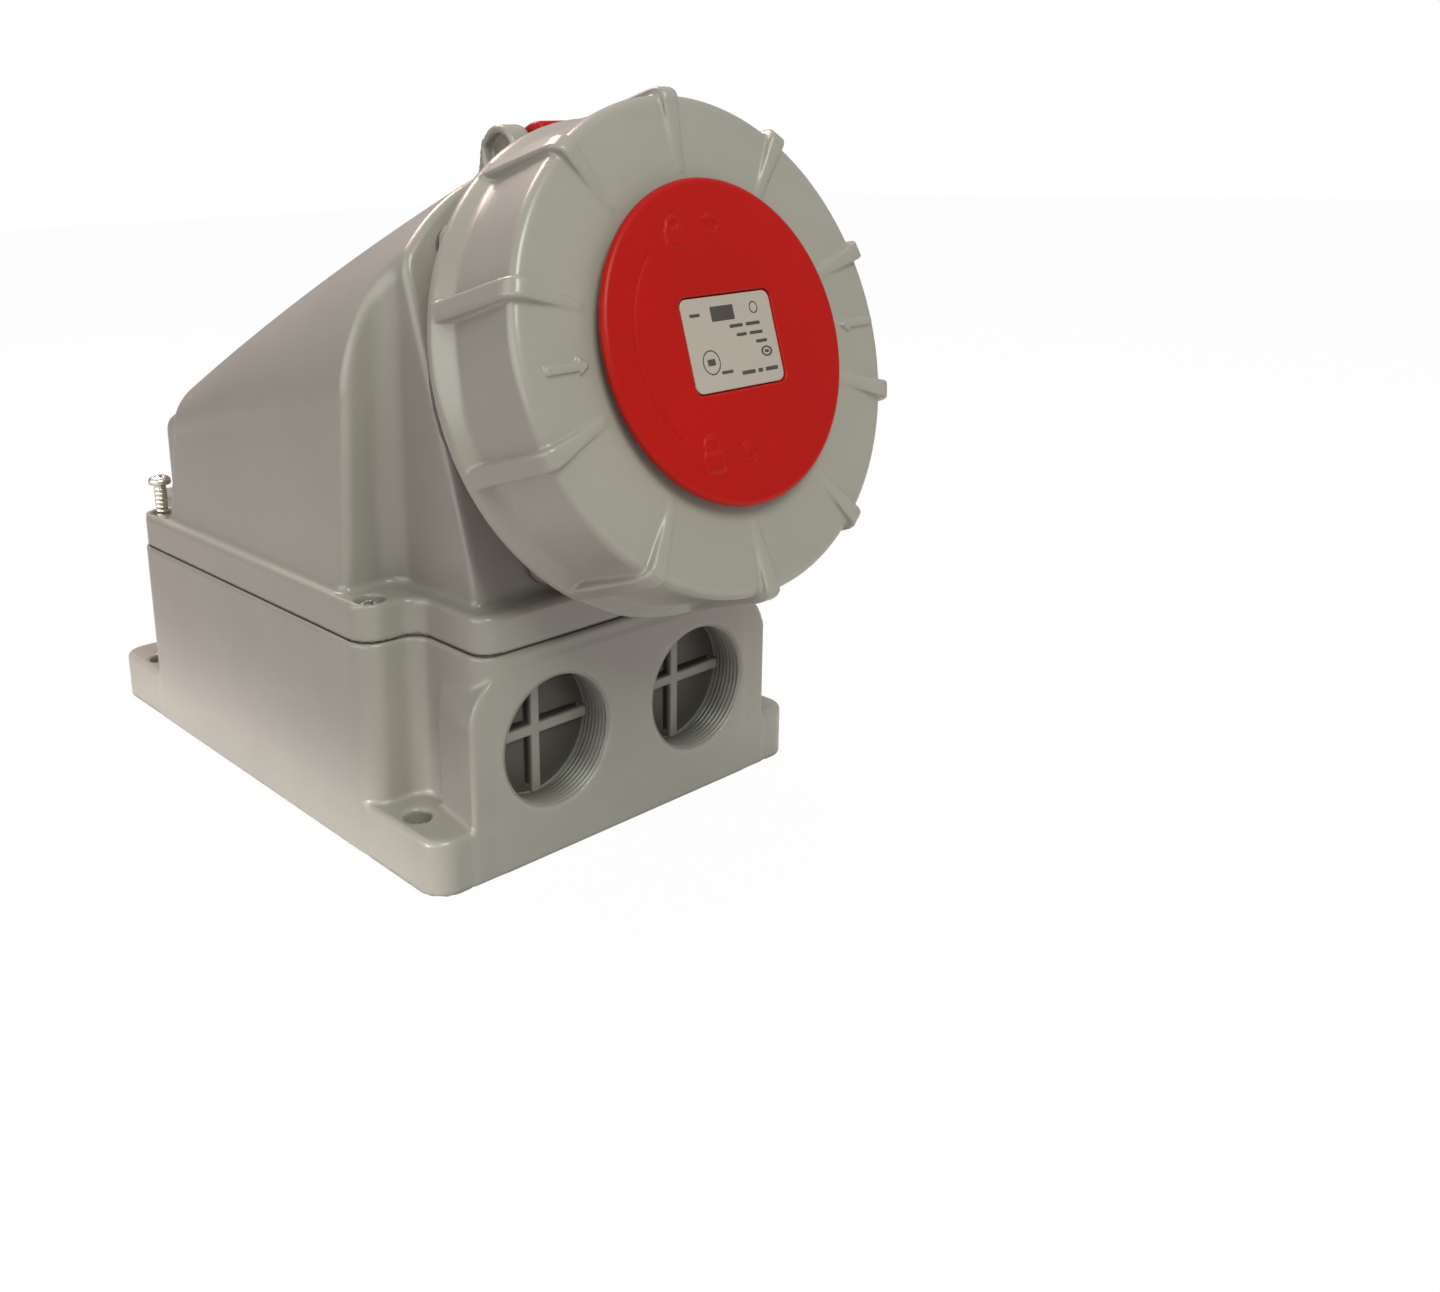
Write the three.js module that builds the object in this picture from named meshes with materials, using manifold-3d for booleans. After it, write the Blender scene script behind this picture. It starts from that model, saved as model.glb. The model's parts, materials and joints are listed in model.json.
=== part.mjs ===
// Wall-mounting generator inlet box: base box, hood, slanted round-pin inlet, hinged lid and locking ring.
//
// Millimetres. The origin is the centre of the back face that goes against the wall. +Z points away from
// the wall, -Y is the cable-entry end and X runs across. The inlet has its own group, whose +Z runs out
// along the inlet's axis, +Y up along the lid's face and whose origin is the centre of the lid's front.

import * as THREE from 'three';
import { mergeVertices } from 'three/addons/utils/BufferGeometryUtils.js';
import Module from 'manifold-3d';

const wasm = await Module();
wasm.setup();

// ---------------------------------------------------------------- driving dimensions
const BOX_HALF_X = 74;            // half of the box's width
const BOX_HALF_Y = 104;           // half of its length
const BASE_TOP = 66.2;            // top rim of the base box
const BASE_WALL = 4;
const FOOT_TOP = 17;              // height of the four feet
const FOOT_HOLE = { x: 66.3, y: 85, r: 4.15 };
const LUG_X = 66.8;               // cover screw axes: distance from the middle across
const LUG_FRONT_Y = 66.8;         // and along, at the cable-entry end and at the far end
const LUG_BACK_Y = 69;

const HOOD_BOTTOM = 66.8;
const FLANGE_TOP = 78;            // top of the hood's flange
const FLANGE_INSET = 0.7;
const HOOD_WALL = 3.5;
const HOOD_BACK_Y = 97;
const CHANNEL_Y = 57.8;           // the channels above the cover screws start this far from the middle

const ENTRY = { x: 29, z: 35.5, mouth: 20.4, core: 19.6, depth: 11, boss: 25, membrane: 1.6 };
const PAD = { halfX: 60.4, top: 62, corner: 16, depth: 20 };

const INLET_CENTRE = [0, -141.8, 151.2];  // centre of the lid's front face
const INLET_TILT = 17;                    // the inlet axis points this far above the cable-entry end, degrees
const FACE_DEPTH = 64.2;                  // from the lid's front to the hood's slanted face
const HOOD_BORE_R = 41.5;

const RING = { front: -5, wall: 66.6, rim: 70, rimFront: -33.9, back: -36.5, inner: 63, hole: 36.8 };
const RIB_COUNT = 10;
const RIB_WIDTH = 5.4;
const DISC_R = 43.1;
const PLATE = { w: 33.6, h: 24.4, r: 2.5, x: 1.2, y: -0.2 };

const HINGE = { y: 66, z: -50, pinR: 2, barrelR: 5.6, earR: 7.3, halfX: 14, earX: 22 };
const LUG_ANGLES = [60, -60, 180];        // ring lugs when unlocked, degrees from +X
const LOCK_TURN = 30;                     // the ring turns this far, clockwise from the front, to lock
const PIN_CIRCLE_R = 18.5;

// ---------------------------------------------------------------- materials
const finish = (color, roughness, metalness) => () =>
  new THREE.MeshStandardMaterial({ color, roughness, metalness });
const greyPlastic = finish('#9b978c', 0.42, 0);
const redPlastic = finish('#b21c12', 0.35, 0);
const darkPlastic = finish('#2b2b2b', 0.5, 0);
const sealRubber = finish('#1d1d1d', 0.8, 0);
const zincSteel = finish('#b9bab5', 0.35, 0.9);
const brass = finish('#c8a860', 0.35, 0.9);
const springSteel = finish('#8d8f92', 0.3, 0.9);
const labelStock = finish('#c6bdae', 0.6, 0);

// ---------------------------------------------------------------- solids and booleans
function toSolid(geometry) {
  const bare = geometry.clone();
  bare.deleteAttribute('normal');
  bare.deleteAttribute('uv');
  const merged = mergeVertices(bare, 1e-4);
  const index = Array.from(merged.index.array);
  const triVerts = [];
  for (let i = 0; i < index.length; i += 3) {
    const [a, b, c] = index.slice(i, i + 3);
    if (a !== b && b !== c && c !== a) triVerts.push(a, b, c);
  }
  return new wasm.Manifold(new wasm.Mesh({
    numProp: 3,
    vertProperties: new Float32Array(merged.attributes.position.array),
    triVerts: new Uint32Array(triVerts),
  }));
}

function toGeometry(solid) {
  const mesh = solid.getMesh();
  const geometry = new THREE.BufferGeometry();
  geometry.setAttribute('position', new THREE.BufferAttribute(new Float32Array(mesh.vertProperties), 3));
  geometry.setIndex(new THREE.BufferAttribute(new Uint32Array(mesh.triVerts), 1));
  geometry.computeVertexNormals();
  return geometry;
}

const join = (first, ...rest) => rest.reduce((whole, piece) => whole.add(piece), first);
const cut = (first, ...rest) => rest.reduce((whole, piece) => whole.subtract(piece), first);

function block(sizeX, sizeY, sizeZ, x, y, z) {
  return toSolid(new THREE.BoxGeometry(sizeX, sizeY, sizeZ).translate(x, y, z));
}

// Cylinder along Z from z0 to z1.
function rod(radius, z0, z1, x = 0, y = 0, segments = 24) {
  const geometry = new THREE.CylinderGeometry(radius, radius, z1 - z0, segments);
  return toSolid(geometry.rotateX(Math.PI / 2).translate(x, y, (z0 + z1) / 2));
}

// Cylinder along Y from y0 to y1.
function rodY(radius, y0, y1, x, z, segments = 32) {
  const geometry = new THREE.CylinderGeometry(radius, radius, y1 - y0, segments);
  return toSolid(geometry.translate(x, (y0 + y1) / 2, z));
}

// Cylinder along X from x0 to x1.
function rodX(radius, x0, x1, y, z, segments = 20) {
  const geometry = new THREE.CylinderGeometry(radius, radius, x1 - x0, segments);
  return toSolid(geometry.rotateZ(Math.PI / 2).translate((x0 + x1) / 2, y, z));
}

function prismGeometry(shape, z0, z1, curveSegments = 3) {
  const geometry = new THREE.ExtrudeGeometry(shape, { depth: z1 - z0, bevelEnabled: false, curveSegments });
  return geometry.translate(0, 0, z0);
}

const prism = (shape, z0, z1, curveSegments) => toSolid(prismGeometry(shape, z0, z1, curveSegments));

// A closed profile of [radius, z] points turned about Z.
function turned(profile, segments = 40) {
  const points = profile.map(([radius, z]) => new THREE.Vector2(radius, z));
  if (THREE.ShapeUtils.isClockWise(points)) points.reverse();
  points.push(points[0].clone());
  return toSolid(new THREE.LatheGeometry(points, segments).rotateX(Math.PI / 2));
}

// A closed shape through [x, y, radius] corners, each rounded by an arc of that radius.
function roundedShape(corners) {
  const shape = new THREE.Shape();
  const count = corners.length;
  corners.forEach(([x, y, radius], i) => {
    const corner = new THREE.Vector2(x, y);
    const before = new THREE.Vector2(...corners[(i + count - 1) % count]).sub(corner).normalize();
    const after = new THREE.Vector2(...corners[(i + 1) % count]).sub(corner).normalize();
    const halfAngle = Math.acos(THREE.MathUtils.clamp(before.dot(after), -1, 1)) / 2;
    const start = corner.clone().addScaledVector(before, radius / Math.tan(halfAngle));
    const bisector = before.clone().add(after).normalize();
    const centre = corner.clone().addScaledVector(bisector, radius / Math.sin(halfAngle));
    const end = corner.clone().addScaledVector(after, radius / Math.tan(halfAngle));
    if (i === 0) shape.moveTo(start.x, start.y);
    else shape.lineTo(start.x, start.y);
    const startAngle = Math.atan2(start.y - centre.y, start.x - centre.x);
    const endAngle = Math.atan2(end.y - centre.y, end.x - centre.x);
    const clockwise = before.cross(after) > 0;
    shape.absarc(centre.x, centre.y, radius, startAngle, endAngle, clockwise);
  });
  shape.closePath();
  return shape;
}

// Mirrors one quadrant's corners, given from the +X side round to the +Y side, into all four quadrants.
// The cable-entry end (-Y) can have its own corners.
function fourfold(corners, entryCorners = corners) {
  const back = [...corners].reverse();
  const entryBack = [...entryCorners].reverse();
  return [
    ...corners,
    ...back.map(([x, y, r]) => [-x, y, r]),
    ...entryCorners.map(([x, y, r]) => [-x, -y, r]),
    ...entryBack.map(([x, y, r]) => [x, -y, r]),
  ];
}

const rectangle = (halfX, halfY, radius) => roundedShape(fourfold([[halfX, halfY, radius]]));

// ---------------------------------------------------------------- outlines of the box and the hood
const LUGS = {
  front_left: [-LUG_X, -LUG_FRONT_Y],
  front_right: [LUG_X, -LUG_FRONT_Y],
  back_right: [LUG_X, LUG_BACK_Y],
  back_left: [-LUG_X, LUG_BACK_Y],
};

// Outline at the joint between base and hood: a rectangle with a stepped corner that leaves a screw lug.
function boxOutline(inset) {
  const corners = (lugY) => [
    [BOX_HALF_X - inset, lugY + 6.2 - inset, Math.max(8 - inset, 1.5)],
    [55.5 - inset, lugY + 7 - inset, 6 + inset],
    [55.5 - inset, BOX_HALF_Y - inset, Math.max(7 - inset, 1.5)],
  ];
  return roundedShape(fourfold(corners(LUG_BACK_Y), corners(LUG_FRONT_Y)));
}

// Outline of the hood's walls above its flange, whose corners are cut back for the screwdriver.
function hoodOutline(inset) {
  return roundedShape(fourfold([
    [72 - inset, CHANNEL_Y - inset, Math.max(4 - inset, 1)],
    [50.6 - inset, 59 - inset, 7 + inset],
    [50.6 - inset, HOOD_BACK_Y - inset, Math.max(3 - inset, 1)],
  ]));
}

// Height of the hood's roof along Y: it falls in a slight crown from the slanted face to the rear screw
// channels, then straight to the back.
function roofHeight(y) {
  const t = Math.min(y, CHANNEL_Y) + 61;
  return 196.2 - 0.533 * t - 0.00053 * t * t - 0.47 * Math.max(y - CHANNEL_Y, 0);
}

// Points of a corner of half width a and height h that bulges outward: exponent 2 is an ellipse.
function corner(x, z, a, h, exponent) {
  const steps = 6;
  const points = [];
  for (let i = 1; i <= steps; i += 1) {
    const angle = (i / steps) * (Math.PI / 2);
    const power = 2 / exponent;
    points.push([x - a * (1 - Math.cos(angle) ** power), z + h * Math.sin(angle) ** power]);
  }
  return points;
}

// Right half of the hood's section at y, from the bottom up: a leaning side wall and a rounded shoulder.
// The shoulder is a full arch at the slanted face and a tighter corner at the back.
function bodySection(y, inset) {
  const along = (y + 57) / 115;
  const springZ = 132.8 - 25.5 * along;
  const springX = 65.7 - inset;
  const width = THREE.MathUtils.clamp(61.9 - 38.6 * along - inset, 15, springX);
  const exponent = THREE.MathUtils.clamp(1.81 + 0.49 * along, 1.75, 2.3);
  const height = roofHeight(y) - inset - springZ;
  return [
    [71 - inset, HOOD_BOTTOM - 6], [70 - inset, FLANGE_TOP], [springX, springZ],
    ...corner(springX, springZ, width, height, exponent),
  ];
}

// The same for the narrow tail between the two screw channels at the back.
function tailSection(y, inset) {
  const height = 9;
  const springZ = roofHeight(y) - inset - height;
  const springX = 53 - inset;
  return [
    [springX, HOOD_BOTTOM - 6], [springX, FLANGE_TOP], [springX, springZ],
    ...corner(springX, springZ, 10, height, 2),
  ];
}

// A bulk with the given sections, made by bending a closed cylinder's rings onto them.
function sectionedBulk(section, inset, yFront, yBack) {
  const stations = 6;
  const perHalf = section(yFront, inset).length;
  const around = perHalf * 2;
  const geometry = new THREE.CylinderGeometry(1, 1, 1, around, stations);
  const position = geometry.attributes.position;
  for (let i = 0; i < position.count; i += 1) {
    const x = position.getX(i);
    const z = position.getZ(i);
    const y = yFront + (0.5 - position.getY(i)) * (yBack - yFront);
    const half = section(y, inset);
    if (Math.hypot(x, z) < 0.5) {
      position.setXYZ(i, 0, y, FLANGE_TOP);
      continue;
    }
    const turn = (Math.atan2(x, z) / (2 * Math.PI) + 1) % 1;
    const step = Math.round(turn * around) % around;
    const [px, pz] = step < perHalf ? half[step] : half[around - 1 - step];
    position.setXYZ(i, step < perHalf ? px : -px, y, pz);
  }
  return toSolid(geometry);
}

function hoodBulk(inset) {
  const end = HOOD_BACK_Y + 4;
  const body = sectionedBulk(bodySection, inset, -118, end).intersect(prism(hoodOutline(inset), HOOD_BOTTOM - 3, 240));
  const ahead = block(300, 300, 400, 0, CHANNEL_Y - inset - 150, 100);
  return body.intersect(sectionedBulk(tailSection, inset, CHANNEL_Y - 10, end).add(ahead));
}

// ---------------------------------------------------------------- inlet frame
const inlet = new THREE.Group();
inlet.position.set(...INLET_CENTRE);
inlet.rotation.x = THREE.MathUtils.degToRad(90 - INLET_TILT);
inlet.updateMatrix();

const inBoxFrame = (solid) => toSolid(toGeometry(solid).applyMatrix4(inlet.matrix));

// ---------------------------------------------------------------- base box
// Flat face round the cable entries, wider than the wall above it, with drafted flanks.
function entryPad() {
  const { halfX, top, corner, depth } = PAD;
  const shape = roundedShape([
    [halfX, 1, 0.5], [halfX, top, corner], [-halfX, top, corner], [-halfX, 1, 0.5],
  ]);
  const geometry = prismGeometry(shape, 0, depth, 6).rotateX(Math.PI / 2);
  const position = geometry.attributes.position;
  for (let i = 0; i < position.count; i += 1) {
    const inward = 1 - (-position.getY(i)) / depth;
    position.setX(i, position.getX(i) * (1 - 0.05 * inward));
  }
  return toSolid(geometry.translate(0, -(BOX_HALF_Y - depth), 0));
}

function knockOut(x) {
  const { z, core, depth, membrane } = ENTRY;
  const front = -BOX_HALF_Y + depth;
  const across = block(2 * core + 1, 1.2, 3.2, x, front - 0.4, z);
  const upright = block(3.2, 1.2, 2 * core + 1, x, front - 0.4, z);
  return join(rodY(core + 0.5, front, front + membrane, x, z), across, upright);
}

function baseBox() {
  const { x: entryX, z: entryZ, mouth, core, depth, boss } = ENTRY;
  const shell = cut(
    join(prism(boxOutline(0), 1, BASE_TOP), prism(rectangle(BOX_HALF_X, BOX_HALF_Y, 8), 0, FOOT_TOP), entryPad()),
    prism(boxOutline(BASE_WALL), BASE_WALL, BASE_TOP + 1),
  );
  const pillars = [];
  const holes = [];
  const grooveDepth = 2;
  for (const [x, y] of Object.values(LUGS)) {
    pillars.push(rod(6, 2, BASE_TOP, x, y));
    holes.push(rod(2.7, 30, BASE_TOP + 1, x, y, 12));
  }
  for (const sx of [-1, 1]) {
    for (const sy of [-1, 1]) {
      holes.push(rod(FOOT_HOLE.r, -1, FOOT_TOP + 1, sx * FOOT_HOLE.x, sy * FOOT_HOLE.y, 20));
    }
    pillars.push(rodY(boss, -BOX_HALF_Y + 1, -BOX_HALF_Y + depth + 5, sx * entryX, entryZ));
    holes.push(rodY(core, -BOX_HALF_Y - 1, -BOX_HALF_Y + depth + 6, sx * entryX, entryZ));
    holes.push(rodY(mouth, -BOX_HALF_Y - 1, -BOX_HALF_Y + 3, sx * entryX, entryZ));
  }
  const outer = prism(boxOutline(0), 1, BASE_TOP).add(prism(rectangle(BOX_HALF_X, BOX_HALF_Y, 8), 0, FOOT_TOP));
  const trimmedPillars = pillars.map((pillar) => pillar.intersect(join(outer, entryPad())));
  const groove = cut(
    prism(boxOutline(1.3), BASE_TOP - grooveDepth, BASE_TOP + 1),
    prism(boxOutline(2.9), BASE_TOP - grooveDepth - 1, BASE_TOP + 2),
  );
  const bored = cut(join(shell, ...trimmedPillars), ...holes, groove);
  return join(bored, knockOut(-entryX), knockOut(entryX));
}

function hoodGasket() {
  const z0 = BASE_TOP - 1.9;
  const ring = cut(prism(boxOutline(1.5), z0, HOOD_BOTTOM - 0.1), prism(boxOutline(2.7), z0 - 1, HOOD_BOTTOM + 1));
  return toGeometry(ring);
}

// ---------------------------------------------------------------- hood
// Everything in front of the slanted face, moved back by inset.
function aheadOfFace(inset) {
  return inBoxFrame(block(300, 300, 200, 0, 0, -FACE_DEPTH - inset + 100));
}

function hood() {
  const flange = prism(boxOutline(FLANGE_INSET), HOOD_BOTTOM, FLANGE_TOP);
  const walls = cut(hoodBulk(0), aheadOfFace(0), block(300, 300, 20, 0, 0, HOOD_BOTTOM - 10));
  const hollow = cut(hoodBulk(HOOD_WALL), aheadOfFace(HOOD_WALL + 0.5));
  const cuts = [hollow, inBoxFrame(rod(HOOD_BORE_R, -FACE_DEPTH - 12, -FACE_DEPTH + 5, 0, 0, 48))];
  for (const [x, y] of Object.values(LUGS)) {
    cuts.push(rod(2.8, HOOD_BOTTOM - 1, FLANGE_TOP + 1, x, y, 16));
    cuts.push(rod(5.2, FLANGE_TOP - 4, FLANGE_TOP + 1, x, y, 20));
  }
  for (const [x, y] of flangeScrewPlaces()) {
    cuts.push(inBoxFrame(rod(1.9, -FACE_DEPTH - 8, -FACE_DEPTH + 1, x, y, 12)));
  }
  return cut(walls.add(flange), ...cuts);
}

// ---------------------------------------------------------------- screws
// Pan-head screw with a cross recess. The shank hangs down from the head's underside at z = 0.
function screwSolid(headR, headH, shankR, length) {
  const head = turned([[0, 0], [headR, 0], [headR, headH * 0.55], [headR * 0.72, headH], [0, headH]], 16);
  const body = head.add(rod(shankR, -length, 0.2, 0, 0, 12));
  const slotDepth = headH * 0.6;
  const slots = [
    block(headR * 1.15, headR * 0.28, slotDepth, 0, 0, headH),
    block(headR * 0.28, headR * 1.15, slotDepth, 0, 0, headH),
  ];
  return cut(body, ...slots);
}

const COVER_SCREW = { headR: 4.1, headH: 3.4, shankR: 2.4, length: 25, seat: FLANGE_TOP - 3.9, proud: 14.2 };
const FLANGE_SCREW_R = 54.6;
const FLANGE_SCREW_ANGLES = [127, 53, -61.6, -118.4];

function flangeScrewPlaces() {
  return FLANGE_SCREW_ANGLES.map((angle) => {
    const a = THREE.MathUtils.degToRad(angle);
    return [FLANGE_SCREW_R * Math.cos(a), FLANGE_SCREW_R * Math.sin(a)];
  });
}

// ---------------------------------------------------------------- inlet: flange, shroud and contacts
const PLATE_BACK = -62.8;
const PLATE_FRONT = -57.8;
const COLLAR_FRONT = -18;
const COLLAR = { inner: 46.6, outer: 50 };
const LUG_BAND = { inner: 54, back: -35.7, front: -31.7, spread: 16 };

// A block of an annulus between two radii and two angles (degrees), from z0 to z1.
function sector(r0, r1, angle0, angle1, z0, z1) {
  const from = THREE.MathUtils.degToRad(angle0);
  const to = THREE.MathUtils.degToRad(angle1);
  const shape = new THREE.Shape();
  shape.absarc(0, 0, r1, from, to, false);
  shape.absarc(0, 0, r0, to, from, true);
  shape.closePath();
  return prism(shape, z0, z1, 5);
}

// Hinge ear, drawn in the Z-Y plane of the inlet and extruded along X from x0.
function hingeEar(x0, thickness) {
  const { y, z, earR } = HINGE;
  const shape = new THREE.Shape();
  const rearAngle = THREE.MathUtils.degToRad(140);
  const frontAngle = THREE.MathUtils.degToRad(-25);
  shape.moveTo(PLATE_BACK, 40);
  shape.lineTo(PLATE_FRONT + 6, 40);
  shape.absarc(z, y, earR, frontAngle, rearAngle, false);
  shape.lineTo(PLATE_BACK, y - 6);
  shape.closePath();
  const geometry = prismGeometry(shape, 0, thickness, 8);
  const swap = new THREE.Matrix4().makeBasis(
    new THREE.Vector3(0, 0, 1), new THREE.Vector3(0, 1, 0), new THREE.Vector3(-1, 0, 0),
  );
  return toSolid(geometry.applyMatrix4(swap).translate(x0 + thickness, 0, 0));
}

// Round plate with a lobe round each flange screw.
function lobedPlate(inset, z0, z1) {
  const lobes = flangeScrewPlaces().map(([x, y]) => rod(6.6 - inset, z0, z1, x, y, 20));
  return join(rod(52 - inset, z0, z1, 0, 0, 48), ...lobes);
}

function inletFlange() {
  const { y, z, halfX, earX, pinR } = HINGE;
  const plate = lobedPlate(0, PLATE_BACK, PLATE_FRONT);
  const collar = rod(COLLAR.outer, PLATE_FRONT - 1, COLLAR_FRONT, 0, 0, 40);
  const saddle = block(2 * earX, 9, PLATE_FRONT - PLATE_BACK, 0, 46, (PLATE_BACK + PLATE_FRONT) / 2);
  const ramps = LUG_ANGLES.map((angle) => {
    const locked = angle - LOCK_TURN;
    return sector(COLLAR.outer - 1, 57.5, locked - 14, locked + 14, LUG_BAND.front + 0.5, LUG_BAND.front + 5);
  });
  const gap = 0.6;
  const ears = [hingeEar(-earX, earX - halfX - gap), hingeEar(halfX + gap, earX - halfX - gap)];
  const body = join(plate, collar, saddle, ...ears, ...ramps);
  const screwHoles = flangeScrewPlaces().map(([sx, sy]) => rod(2.4, PLATE_BACK - 1, PLATE_FRONT + 1, sx, sy, 12));
  const screwSeats = flangeScrewPlaces().map(([sx, sy]) => rod(4.6, PLATE_FRONT - 1.5, PLATE_FRONT + 3, sx, sy, 16));
  return cut(
    body,
    rod(COLLAR.inner, PLATE_BACK + 2.8, COLLAR_FRONT + 1, 0, 0, 40).intersect(rod(60, PLATE_FRONT, 0)),
    rod(39.9, PLATE_BACK - 1, PLATE_FRONT + 1, 0, 0, 48),
    rod(45, PLATE_BACK - 1, PLATE_BACK + 2.6, 0, 0, 48),
    rodX(pinR + 0.1, -earX + 3.6, earX + 1, y, z, 20),
    rodX(4.2, -earX - 1, -earX + 3, y, z, 16),
    rodX(4.2, earX - 3, earX + 1, y, z, 16),
    ...screwHoles,
    ...screwSeats,
  );
}

const SHROUD = { inner: 35.8, outer: 39.4, back: -96, front: -18.4 };

function inletShroud() {
  const tube = turned([
    [SHROUD.inner, SHROUD.back], [SHROUD.outer, SHROUD.back], [SHROUD.outer, PLATE_BACK + 0.2],
    [44.6, PLATE_BACK + 0.2], [44.6, PLATE_BACK + 2.4], [SHROUD.outer, PLATE_BACK + 2.4],
    [SHROUD.outer, SHROUD.front], [SHROUD.inner, SHROUD.front],
  ], 48);
  const keyBulge = sector(SHROUD.inner + 1, 43.4, -99, -81, PLATE_FRONT + 0.6, SHROUD.front);
  const keyway = block(8, 8, 80, 0, -SHROUD.inner, SHROUD.front - 40 + 1).intersect(rod(40.6, -56, 0, 0, 0, 48));
  return cut(tube.add(keyBulge), keyway);
}

const CARRIER = { back: -96, front: -76 };
const pinPlaces = {
  l1: { angle: 180, r: 4, hole: 4.3 },
  l2: { angle: 90, r: 4, hole: 4.3 },
  l3: { angle: 0, r: 4, hole: 4.3 },
  earth: { angle: -90, r: 5, hole: 5.3 },
};

function pinCentre(angle) {
  const a = THREE.MathUtils.degToRad(angle);
  return [PIN_CIRCLE_R * Math.cos(a), PIN_CIRCLE_R * Math.sin(a)];
}

function contactCarrier() {
  const holes = Object.values(pinPlaces).map(({ angle, hole }) =>
    rod(hole, CARRIER.back - 1, CARRIER.front + 1, ...pinCentre(angle), 16));
  const pilotHole = rod(3.3, CARRIER.back - 1, CARRIER.front + 1, 0, 0, 12);
  return cut(rod(SHROUD.inner - 0.3, CARRIER.back, CARRIER.front, 0, 0, 40), ...holes, pilotHole);
}

// Contact pin with a domed tip and, behind the carrier, a terminal with a cable bore and a screw hole.
function contactPin(radius, tipZ, terminalR, terminalLength) {
  const shoulder = CARRIER.back - 0.3;
  const end = shoulder - terminalLength;
  const pin = turned([
    [0, end], [terminalR, end], [terminalR, shoulder], [radius, shoulder],
    [radius, tipZ - radius * 0.6], [radius * 0.75, tipZ - radius * 0.15], [radius * 0.35, tipZ], [0, tipZ],
  ], 16);
  const cableBore = rod(terminalR - 2.2, end - 1, end + terminalLength - 5, 0, 0, 12);
  const screwHole = rodY(2.2, 0, terminalR + 1, 0, shoulder - terminalLength * 0.6, 12);
  return cut(pin, cableBore, screwHole);
}

// Headless terminal screw with a slot, standing along Y from y = 0.
function terminalScrew(radius, length) {
  return cut(rodY(radius, 0, length, 0, 0, 10), block(radius * 3, 1.6, 0.9, 0, length, 0));
}

// ---------------------------------------------------------------- lid and locking ring
function lockingRing() {
  const { front, wall, rim, rimFront, back, inner, hole } = RING;
  const fillet = [];
  for (let i = 0; i <= 3; i += 1) {
    const a = (i / 3) * (Math.PI / 2);
    fillet.push([wall - 3 + 3 * Math.sin(a), front - 3 + 3 * Math.cos(a)]);
  }
  const body = turned([
    [hole, front - 3.6], [hole, front], ...fillet,
    [wall, -29.5], [67.4, -32.2], [rim, rimFront], [rim, back], [inner, back], [inner, front - 6],
    [inner - 2.4, front - 3.6],
  ], 50);
  const ribShape = new THREE.Shape();
  ribShape.moveTo(inner + 1, rimFront - 0.5);
  ribShape.lineTo(rim, rimFront - 0.5);
  ribShape.lineTo(wall + 2.2, front - 3);
  ribShape.quadraticCurveTo(wall + 1.8, front + 1.2, wall - 1.6, front + 2.3);
  ribShape.lineTo(46, front + 0.1);
  ribShape.lineTo(46, front - 1);
  ribShape.lineTo(inner - 1, front - 1.6);
  ribShape.lineTo(inner + 1, front - 5);
  ribShape.closePath();
  const ribGeometry = prismGeometry(ribShape, -RIB_WIDTH / 2, RIB_WIDTH / 2, 4).rotateX(Math.PI / 2);
  const ribs = [];
  for (let i = 0; i < RIB_COUNT; i += 1) {
    const angle = Math.PI / 2 + (i * 2 * Math.PI) / RIB_COUNT;
    ribs.push(toSolid(ribGeometry.clone().rotateZ(angle)));
  }
  const half = LUG_BAND.spread / 2;
  const lugs = LUG_ANGLES.map((angle) =>
    sector(LUG_BAND.inner, inner + 1, angle - half, angle + half, LUG_BAND.back, LUG_BAND.front));
  return join(body, ...ribs, ...lugs);
}

function lidDisc() {
  const body = turned([
    [0, -9.3], [35.8, -9.3], [35.8, -3], [DISC_R, -3], [DISC_R, -1.2], [DISC_R - 0.6, -0.3],
    [DISC_R - 1.8, 0], [0, 0],
  ], 48);
  const pocket = prism(rectangle(PLATE.w / 2 + 0.4, PLATE.h / 2 + 0.4, PLATE.r), -1.2, 1);
  const placed = toSolid(toGeometry(pocket).translate(PLATE.x, PLATE.y, 0));
  return cut(body, placed, rod(10.2, -12, -4.5, 0, 0, 32));
}

// Back part of the lid: a plate with a snap boss for the disc, and the arm and barrels of the hinge.
function lidCarrier() {
  const { y, z, pinR, barrelR, halfX } = HINGE;
  const armTop = y + barrelR;
  const plate = rod(57, -13, -9.6, 0, 0, 48);
  const boss = rod(9.9, -10, -4.9, 0, 0, 32);
  const reach = block(2 * halfX, 5, 36, 0, 56, -27.6);
  const rise = block(2 * halfX, armTop - 53.5, 6, 0, (armTop + 53.5) / 2, -42.6);
  const barrel = rodX(barrelR, -halfX, halfX, y, z);
  const bridge = block(2 * halfX, 2 * barrelR, 7, 0, y, -45.5);
  const springRoom = rodX(barrelR + 0.6, -6.8, 6.8, y, z);
  return cut(
    join(plate, boss, reach, rise, bridge, barrel),
    rodX(pinR + 0.15, -halfX - 1, halfX + 1, y, z, 20),
    springRoom,
  );
}

function lidGasket() {
  return turned([[44.4, -17.7], [51.4, -17.7], [51.4, -13.1], [44.4, -13.1]], 48);
}

function hingePin() {
  const { y, z, earX, pinR } = HINGE;
  const shaft = rodX(pinR, -earX + 4, earX - 0.6, y, z, 20);
  return join(shaft, rodX(3.6, earX - 2.6, earX - 0.6, y, z, 20));
}

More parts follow.
